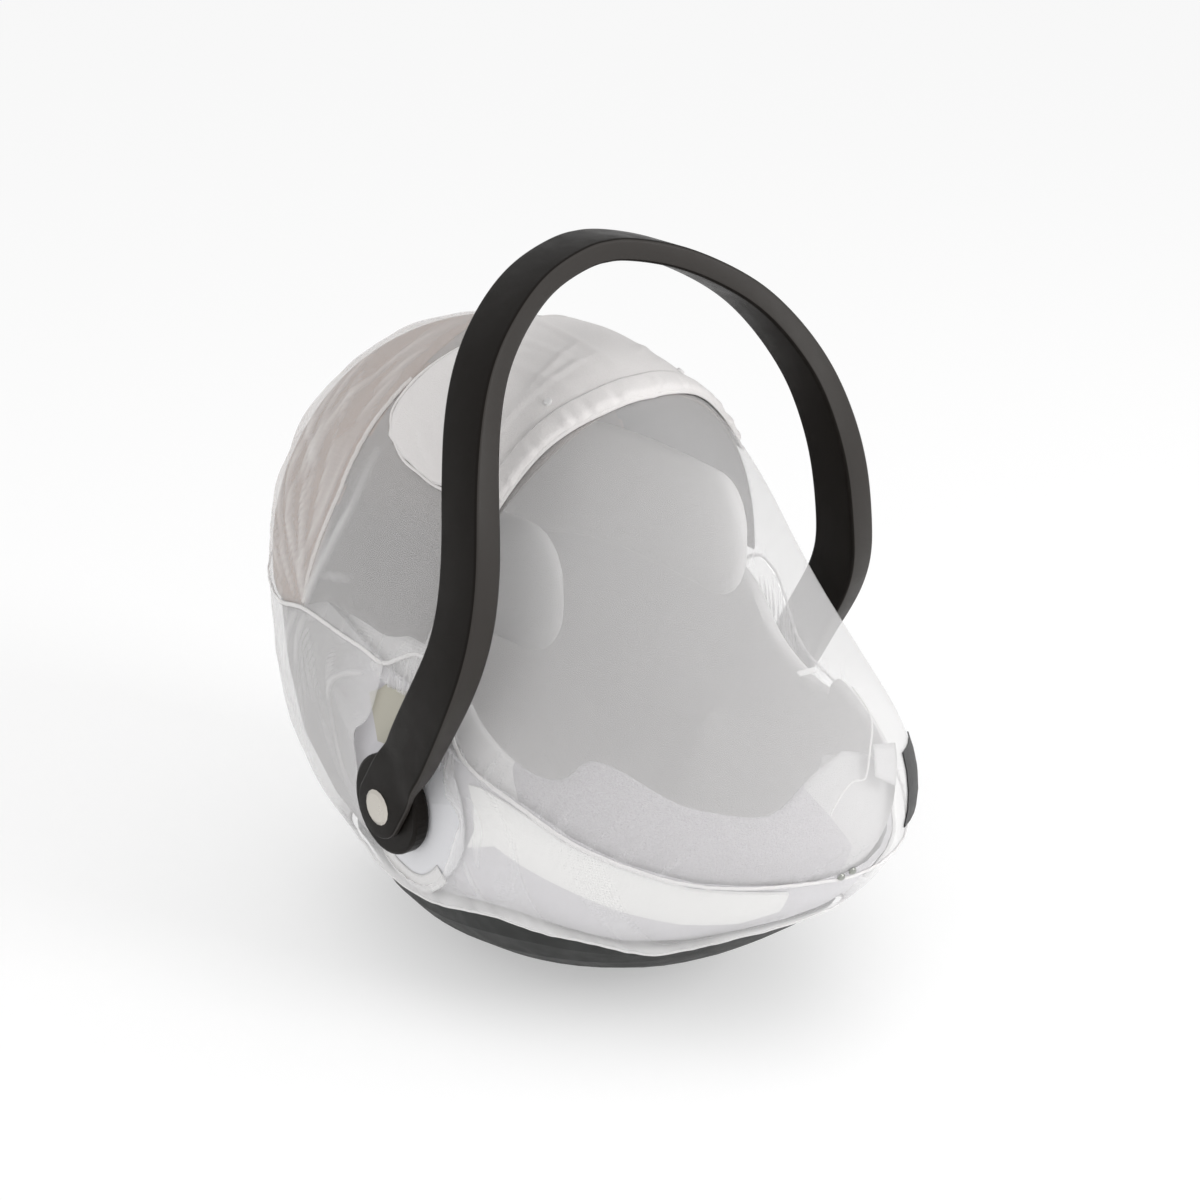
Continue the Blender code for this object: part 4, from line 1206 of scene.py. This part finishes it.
@dataclass
class Visor:
    """The white cotton visor over the crown, its folded front casing and its piped edge."""

    finishes: Wardrobe
    lift: float = 3.6 * MM
    thickness: float = 1.2 * MM
    casing_lift: float = 5.4 * MM
    casing_degrees: float = 3.8
    piping_radius: float = 1.5 * MM
    piping_lift: float = 1.7 * MM
    wave_height: float = 0.0008
    edge_roll: float = 0.0016
    casing_gathers: float = 0.0011
    casing_rows: int = 14

    def edges(self, share: np.ndarray) -> tuple[np.ndarray, np.ndarray]:
        """The angles of its rear and front edges at shares."""
        rear = SmoothCurve(tuple((-row[0], row[1]) for row in VISOR_SIDES), 1)
        front = SmoothCurve(tuple((-row[0], row[2]) for row in VISOR_SIDES), 1)
        return rear(-share), front(-share)

    def panel(self) -> None:
        """The visor's cloth, with the small pulls that its casing and its fold line give it."""
        columns, rows = 70, 70
        foot = np.array(VISOR_FOOT)
        grid = np.zeros((columns, rows, 2))
        for i, u in enumerate(np.linspace(0, 1, columns)):
            angle = foot[0, 0] * (1 - u) + foot[-1, 0] * u
            foot_share = np.interp(angle, foot[:, 0], foot[:, 1])
            share = 1 - np.linspace(0, 1, rows) * (1 - foot_share)
            rear, front = self.edges(share)
            grid[i] = on_disc(rear * (1 - u) + front * u, share)
        both, sign = mirrored(grid[:, ::-1], 1)
        points = FAN.point(both, 0.0, sign)
        pulls = sum(crease.relief(points) for crease in VISOR_PULLS)
        wave = Ripple(21)(points[..., 1] / 0.03 + 30, points[..., 0] / 0.022 + 30) * self.wave_height
        border = np.minimum(np.arange(columns), np.arange(columns)[::-1])[:, None] / 3
        rolled = np.clip(1 - border, 0, 1) ** 2 * self.edge_roll
        lift = self.lift + np.maximum(pulls + wave, -0.0009) - rolled
        points = points + FAN.outward(both, sign) * lift[..., None]
        obj = sheet_object("visor_cloth", points, self.finishes.cotton, self.thickness)
        placed(obj, "visor")

    def casing(self) -> None:
        """The folded band along the visor's front edge, gathered on its drawstring."""
        share = np.linspace(1, 0.56, 110)
        front = self.edges(share)[1]
        steps = np.linspace(0, 1, self.casing_rows)
        near = np.stack([on_disc(front - 0.3 - self.casing_degrees * (1 - v), share) for v in steps], 1)
        both, sign = mirrored(near[::-1], 0)
        centre = FAN.point(both, 0.0, sign)
        along = run_length(centre[:, 0])[:, None]
        v = steps[None, :]
        puff = np.sin(v * math.pi) ** 0.7 * self.casing_gathers
        gathers = Ripple(31)(along / 0.006, v * 1.5) * self.casing_gathers * (0.3 + v)
        curl = np.clip((v - 0.72) / 0.28, 0, 1) ** 2 * (self.casing_lift - 0.0012)
        points = centre + FAN.outward(both, sign) * (self.casing_lift + puff + gathers - curl)[..., None]
        obj = sheet_object("visor_front_casing", points, self.finishes.cotton, self.thickness)
        placed(obj, "visor_casing")

    def piping(self) -> None:
        """The piped rear and lower edges."""
        share = np.linspace(1, 0.568, 60)
        rear = self.edges(share)[0]
        back = on_disc(rear - 0.15, share)
        line = smooth_line(np.concatenate([back[::6], disc_table(VISOR_FOOT)[1:] * 0.997]), 130)
        both, sign = mirrored(line[::-1], 0)
        path = FAN.point(both, 0.0, sign) + FAN.outward(both, sign) * self.piping_lift
        obj = tube("visor_edge_piping", path, self.piping_radius, self.finishes.cotton)
        placed(obj, "visor_piping")

    def build(self) -> None:
        """Builds the visor."""
        self.panel()
        self.casing()
        self.piping()
        log.info("visor: panel, casing and piping")


# Carrier


@dataclass
class Canopy:
    """The carrier's own hood under the net, dark in front of the rear seam and brown behind it."""

    finishes: Wardrobe
    inset: float = 2.6 * MM
    thickness: float = 1.4 * MM
    above_seam: float = 0.005
    front_angle: float = 101.5
    bow_angle: float = 33.0
    bow_pitch: float = 34.0
    sag_depth: float = 0.0012

    def build(self) -> None:
        """Builds the hood's cloth, which sags between its bows."""
        columns, rows = 110, 60
        seam = smooth_line(disc_table(RIM_SEAM[:9]), columns)
        reach = np.linalg.norm(seam, axis=1, keepdims=True)
        raised = self.above_seam + 0.036 * np.clip((0.275 - reach) / 0.05, 0, 1)
        lower = seam * (1 + raised / reach.clip(0.2))
        lower = lower / np.maximum(np.linalg.norm(lower, axis=1, keepdims=True), 1)
        lower[0] = on_disc(RIM_SEAM[0][0] + 1.5, 1.0)
        crown = on_disc(np.linspace(RIM_SEAM[0][0] + 1.5, self.front_angle + 2, columns), np.ones(columns))
        left = np.repeat(crown[:1], rows, axis=0)
        right = lower[-1] + (crown[-1] - lower[-1]) * np.linspace(0, 1, rows)[:, None]
        near = four_sided(lower, crown, left, right)
        both, sign = mirrored(near, 1)
        angle = np.degrees(np.arctan2(both[..., 1], both[..., 0]))
        sag = (np.sin(np.radians((angle - self.bow_angle) * 180 / self.bow_pitch)) ** 2) * self.sag_depth
        points = FAN.point(both, self.inset, sign) - FAN.outward(both, sign) * sag[..., None]
        obj = sheet_object("canopy_cloth", points, self.finishes.hood_front, self.thickness)
        obj.data.materials.append(self.finishes.hood_rear)
        seam_share = np.array([row[1] for row in REAR_SEAM])
        seam_angle = np.array([row[0] for row in REAR_SEAM])
        share = np.hypot(both[..., 0], both[..., 1])
        behind = angle < np.interp(share, seam_share, seam_angle) + 0.5
        brown = {tuple(np.round(p, 5)): flag for p, flag in zip(points.reshape(-1, 3), behind.ravel())}
        vertices = [tuple(np.round(v.co, 5)) for v in obj.data.vertices]
        for polygon in obj.data.polygons:
            if all(brown.get(vertices[i], False) for i in polygon.vertices):
                polygon.material_index = 1
        placed(obj, "canopy")
        log.info("canopy")


@dataclass
class PaddedSeat:
    """The padded bucket with its knitted front roll and its winged headrest."""

    finishes: Wardrobe
    inset: float = 17.2 * MM
    rolled_edge: float = 10.0
    wing_half_thickness: float = 0.012
    wing_half_height: float = 0.052

    def bucket(self) -> None:
        """The liner: an outer skin, a rolled rim and the inner skin."""
        rim = smooth_line(disc_table(LINER_RIM), 150)
        keel_angles = np.linspace(LINER_RIM[0][0], LINER_RIM[-1][0] - 360, len(rim))
        rows, spans_across_rim = 40, (0.25, 0.5, 0.75)
        grid = between(rim, on_disc(keel_angles, np.ones(len(rim))), rows)
        padding = SmoothCurve(PADDING, 1, 360)
        angle = np.degrees(np.arctan2(grid[..., 1], grid[..., 0]))
        depth = np.linspace(0, 1, rows)[None, :]
        swell = np.sin(np.clip(depth * 2.2, 0, 1) * math.pi / 2)
        set_in = (self.rolled_edge + (padding(angle) - self.rolled_edge) * swell) * MM
        halves = []
        near_rim = FAN.point(rim, self.inset, Side.NEAR.value)
        knitted = (near_rim[:, 1] < -0.10) & (near_rim[:, 0] < -0.040)
        for side in Side:
            outer = FAN.point(grid, self.inset, side.value)
            inner = FAN.point(grid, self.inset + set_in, side.value)
            spans = [outer[:, ::-1]]
            for t in spans_across_rim:
                arc = outer[:, 0] * (1 - t) + inner[:, 0] * t
                arc[:, 2] += math.sin(t * math.pi) * 0.004
                spans.append(arc[:, None])
            spans.append(inner)
            halves.append(np.concatenate(spans, axis=1))
        whole = np.concatenate([halves[0], halves[1][-2:0:-1]], axis=0)
        cover = np.zeros((whole.shape[0], whole.shape[1] - 1), dtype=int)
        cover[: len(rim), : rows + len(spans_across_rim) + 1][knitted] = 1
        obj = sheet_closed("seat_padding", whole, self.finishes.lining, cover)
        obj.data.materials.append(self.finishes.knit)
        placed(obj, "seat_liner")

    def headrest(self) -> None:
        """The winged pad at the head end, whose wings hang down beside the face."""
        path = np.array(HEADREST) * MM
        fine = np.linspace(0, len(path) - 1, 90)
        centre = smooth_path(path, fine)
        along = unit(np.gradient(centre, axis=0))
        rings = []
        up = np.array([0, 0, 1.0])
        for k, (place, direction) in enumerate(zip(centre, along)):
            end = min(fine[k], len(path) - 1 - fine[k])
            close = math.sqrt(max(0.02, 1 - (1 - min(end / 0.9, 1)) ** 2))
            side = unit(np.cross(direction, up))
            turns = np.linspace(0, 2 * math.pi, 29)[:-1]
            ring = [
                place
                + side * self.wing_half_thickness * close * np.sign(math.cos(t)) * abs(math.cos(t)) ** 0.8
                + up * self.wing_half_height * close * np.sign(math.sin(t)) * abs(math.sin(t)) ** 0.7
                for t in turns
            ]
            rings.append(ring)
        body = np.array(rings) + np.array([0, 0, HINGE_HEIGHT])
        obj = closed_loft("winged_headrest", body, self.finishes.headrest)
        placed(obj, "headrest_pad")

    def build(self) -> None:
        """Builds the padding."""
        self.bucket()
        self.headrest()
        log.info("seat padding and headrest")


def sheet_closed(name: str, points: np.ndarray, material: Material, cover: np.ndarray) -> Object:
    """A closed body from a ring of columns whose ends fold onto themselves.

    Args:
        name: The piece's name.
        points: Columns by rows of points, in metres.
        material: Its first finish.
        cover: The number of the finish of each face.

    Returns:
        The object.
    """
    mesh = new_mesh(name, points, grid_faces(*points.shape[:2], True))
    mesh.polygons.foreach_set("material_index", cover.ravel())
    weld(mesh, 0.00005, closed=True)
    return add_object(name, mesh, material)


@dataclass
class HardParts:
    """The moulded parts whose solids keep their shape and get their finish here."""

    finishes: Wardrobe

    def dress(self) -> None:
        """Gives each kept solid its material."""
        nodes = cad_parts
        pairs = {
            "rim_trim": self.finishes.trim,
            "belt_guide": self.finishes.guide,
            "slot_facing": self.finishes.facing,
            "hub": self.finishes.handle,
            "blank_badge": self.finishes.badge,
            "visor_stud": self.finishes.binding,
        }
        looks = {f"{part}_{hand}": material for part, material in pairs.items() for hand in ("left", "right")}
        looks["shell"] = self.finishes.shell
        looks["rocker_base"] = self.finishes.base
        looks["blank_patch"] = self.finishes.woven
        for name, material in looks.items():
            mesh = nodes[name].data
            for slot in range(max(1, len(mesh.materials))):
                if len(mesh.materials) == 0:
                    mesh.materials.append(material)
                else:
                    nodes[name].material_slots[slot].material = material
        log.info("moulded parts dressed")


@dataclass
class CarryHandle:
    """The arched handle with eased edges."""

    finishes: Wardrobe
    paddle_radius: float = 26 * MM
    paddle_thickness: float = 6.4 * MM
    ease: float = 3.2 * MM
    # The ring faces that get the lighter copy of the plastic: painted light on the handle's front.
    lit_front_faces: tuple[int, ...] = (7, 8, 9, 10)
    paddle_steps: int = 16

    def section(self, width: float, thick: float) -> list[tuple[float, float]]:
        """The band's outline: offsets across it and outwards."""
        ease = min(self.ease, thick * 0.32)
        half, out = width / 2, thick / 2
        outline = []
        for cx, cy, start in (
            (half - ease, out - ease, 0),
            (-half + ease, out - ease, 90),
            (-half + ease, -out + ease, 180),
            (half - ease, -out + ease, 270),
        ):
            for step in range(5):
                turn = math.radians(start + step * 22.5)
                outline.append((cx + ease * math.cos(turn), cy + ease * math.sin(turn)))
        return outline

    def build(self) -> None:
        """Lofts the handle through its sections."""
        places = smooth_path(np.array(HANDLE), np.linspace(0, len(HANDLE) - 1, 145)) * MM
        down = unit(places[0, :3] - places[1, :3])
        ending = []
        for step in range(self.paddle_steps, 0, -1):
            drop = self.paddle_radius * math.sin(step / self.paddle_steps * math.radians(87))
            width = 2 * math.sqrt(self.paddle_radius**2 - drop**2)
            ending.append([*(places[0, :3] + down * drop), width, self.paddle_thickness])
        near = np.concatenate([np.array(ending), places])
        path = np.concatenate([near, near[-2::-1] * np.array([-1, 1, 1, 1, 1])])
        centre = path[:, :3] + np.array([0, 0, HINGE_HEIGHT])
        along = unit(np.gradient(centre, axis=0))
        rings = []
        for place, direction, (width, thick) in zip(centre, along, path[:, 3:]):
            across = unit(np.array([0, 1, 0]) - direction[1] * direction)
            outward = np.cross(direction, across)
            rings.append([place + across * b + outward * n for b, n in self.section(width, thick)])
        obj = closed_loft("arched_handle", np.array(rings), self.finishes.handle)
        # Painted light: the front faces take the lighter copy of the handle's plastic.
        obj.data.materials.append(self.finishes.handle_lit_face)
        turns = len(rings[0])
        band = (len(rings) - 1) * turns
        for polygon in obj.data.polygons:
            if polygon.index < band and polygon.index % turns in self.lit_front_faces:
                polygon.material_index = 1
        placed(obj, "carry_handle", HANDLE_BODY)
        log.info("handle: %d sections", len(rings))


@dataclass
class SmallHardware:
    """The small snap at the foot end's seam, and the seat cover's piping, label and tab."""

    finishes: Wardrobe
    line_inset: float = 3.0 * MM
    stud_height: float = 0.0016

    def build(self) -> None:
        """Places the two studs of the snap beside the seam."""
        for number, (angle, share) in enumerate(((179.0, 0.925), (178.4, 0.955))):
            flat = on_disc(angle, share)[None]
            spot = (FAN.point(flat, 0.0) + FAN.outward(flat) * self.stud_height)[0]
            out = Vector(FAN.outward(flat)[0])
            mesh = bpy.data.meshes.new(f"seam_snap_{number}")
            body = bmesh.new()
            bmesh.ops.create_cone(
                body, cap_ends=True, segments=24, radius1=0.0032, radius2=0.0024, depth=self.stud_height
            )
            body.to_mesh(mesh)
            body.free()
            obj = add_object(f"seam_snap_{number}", mesh, self.finishes.steel)
            turned = out.to_track_quat("Z", "Y").to_matrix().to_4x4()
            obj.matrix_world = Matrix.Translation(Vector(spot)) @ turned
            placed(obj)
        log.info("seam snap")
        self.inner_line()
        self.blank_labels()

    def inner_line(self) -> None:
        """The fine piping of the seat cover that shows through the net at the foot end."""
        far = disc_table(((155.0, 0.884), (159.5, 0.872), (163.0, 0.939), (166.2, 0.999)))
        near = disc_table(((166.2, 0.949), (168.5, 0.890), (169.7, 0.876)))
        path = np.concatenate([FAN.point(far, self.line_inset, 1.0), FAN.point(near, self.line_inset, -1.0)])
        smooth = smooth_path(path, np.linspace(0, len(path) - 1, 60))
        cord = tube("cover_piping", smooth, 0.8 * MM, self.finishes.binding)
        placed(cord)

    def blank_labels(self) -> None:
        """A bare label and a small tab of the seat cover under the net."""
        label = ((162.7, 0.919), (164.2, 0.794), (169.0, 0.868), (166.5, 0.955))
        tab = ((150.6, 0.921), (150.8, 0.988), (151.6, 0.988), (151.4, 0.921))
        for name, side, corners, material in (
            ("bare_label", 1.0, label, self.finishes.lining),
            ("cover_tab", -1.0, tab, self.finishes.binding),
        ):
            flat = disc_table(corners)
            grid = four_sided(
                np.linspace(flat[0], flat[1], 8),
                np.linspace(flat[3], flat[2], 8),
                np.linspace(flat[0], flat[3], 6),
                np.linspace(flat[1], flat[2], 6),
            )
            points = FAN.point(grid, self.line_inset, np.full(grid.shape[:2], side))
            plate = sheet_object(name, points, material, 0.6 * MM)
            placed(plate)


# Studio


@dataclass
class Studio:
    """The pale floor, the soft light and the camera."""

    camera_place: Triple = (-1.320, -1.6459, 0.9313 + HINGE_HEIGHT)
    look: Triple = (0.5875, 0.7255, -0.358)
    lens: float = 83.9
    floor_grey: float = 0.62
    floor_glow: float = 0.42
    room_strength: float = 0.82

    def floor(self) -> None:
        """The floor, which runs far out."""
        bpy.ops.mesh.primitive_plane_add(size=40, location=(0, 0, -0.0005))
        plane = bpy.context.object
        plane.name = "pale_floor"
        material = principled(
            "Pale floor",
            Base_Color=(self.floor_grey,) * 3 + (1,),
            Roughness=0.9,
            Emission_Color=(1, 1, 1, 1),
            Emission_Strength=self.floor_glow,
            Specular_IOR_Level=0.0,
        )[0]
        plane.data.materials.append(material)

    def lights(self) -> None:
        """A white room and two broad lamps."""
        world = bpy.data.worlds.new("White room")
        bpy.context.scene.world = world
        world.use_nodes = True
        set_inputs(world.node_tree.nodes["Background"], Color=(1, 1, 1, 1), Strength=self.room_strength)
        for name, place, size, power in (
            ("Key", (0.9, -2.3, 1.5), 1.0, 26),
            ("Fill", (-2.0, -0.6, 1.9), 1.6, 5),
        ):
            lamp = bpy.data.lights.new(name, "AREA")
            lamp.size = size
            lamp.energy = power
            obj = bpy.data.objects.new(name, lamp)
            obj.location = place
            aim = Vector((0, 0, 0.28)) - Vector(place)
            obj.rotation_euler = aim.to_track_quat("-Z", "Y").to_euler()
            bpy.context.scene.collection.objects.link(obj)

    def camera(self) -> None:
        """The camera at the photograph's viewing angle."""
        data = bpy.data.cameras.new("Camera")
        data.lens = self.lens
        data.sensor_width = 36
        obj = bpy.data.objects.new("Camera", data)
        obj.location = self.camera_place
        obj.rotation_euler = Vector(self.look).to_track_quat("-Z", "Y").to_euler()
        bpy.context.scene.collection.objects.link(obj)
        bpy.context.scene.camera = obj

    def build(self) -> None:
        """Sets the whole studio up."""
        self.floor()
        self.lights()
        self.camera()
        bpy.context.scene.view_settings.view_transform = "Standard"
        log.info("studio ready")


def main() -> None:
    """Builds the object's pieces in order and lights them."""
    logging.basicConfig(level=logging.INFO, format="%(name)s: %(message)s")
    finishes = Wardrobe()
    HardParts(finishes).dress()
    PaddedSeat(finishes).build()
    Canopy(finishes).build()
    MosquitoNet(finishes).build()
    Visor(finishes).build()
    CarryHandle(finishes).build()
    SmallHardware(finishes).build()
    Studio().build()


if __name__ == "__main__":
    main()
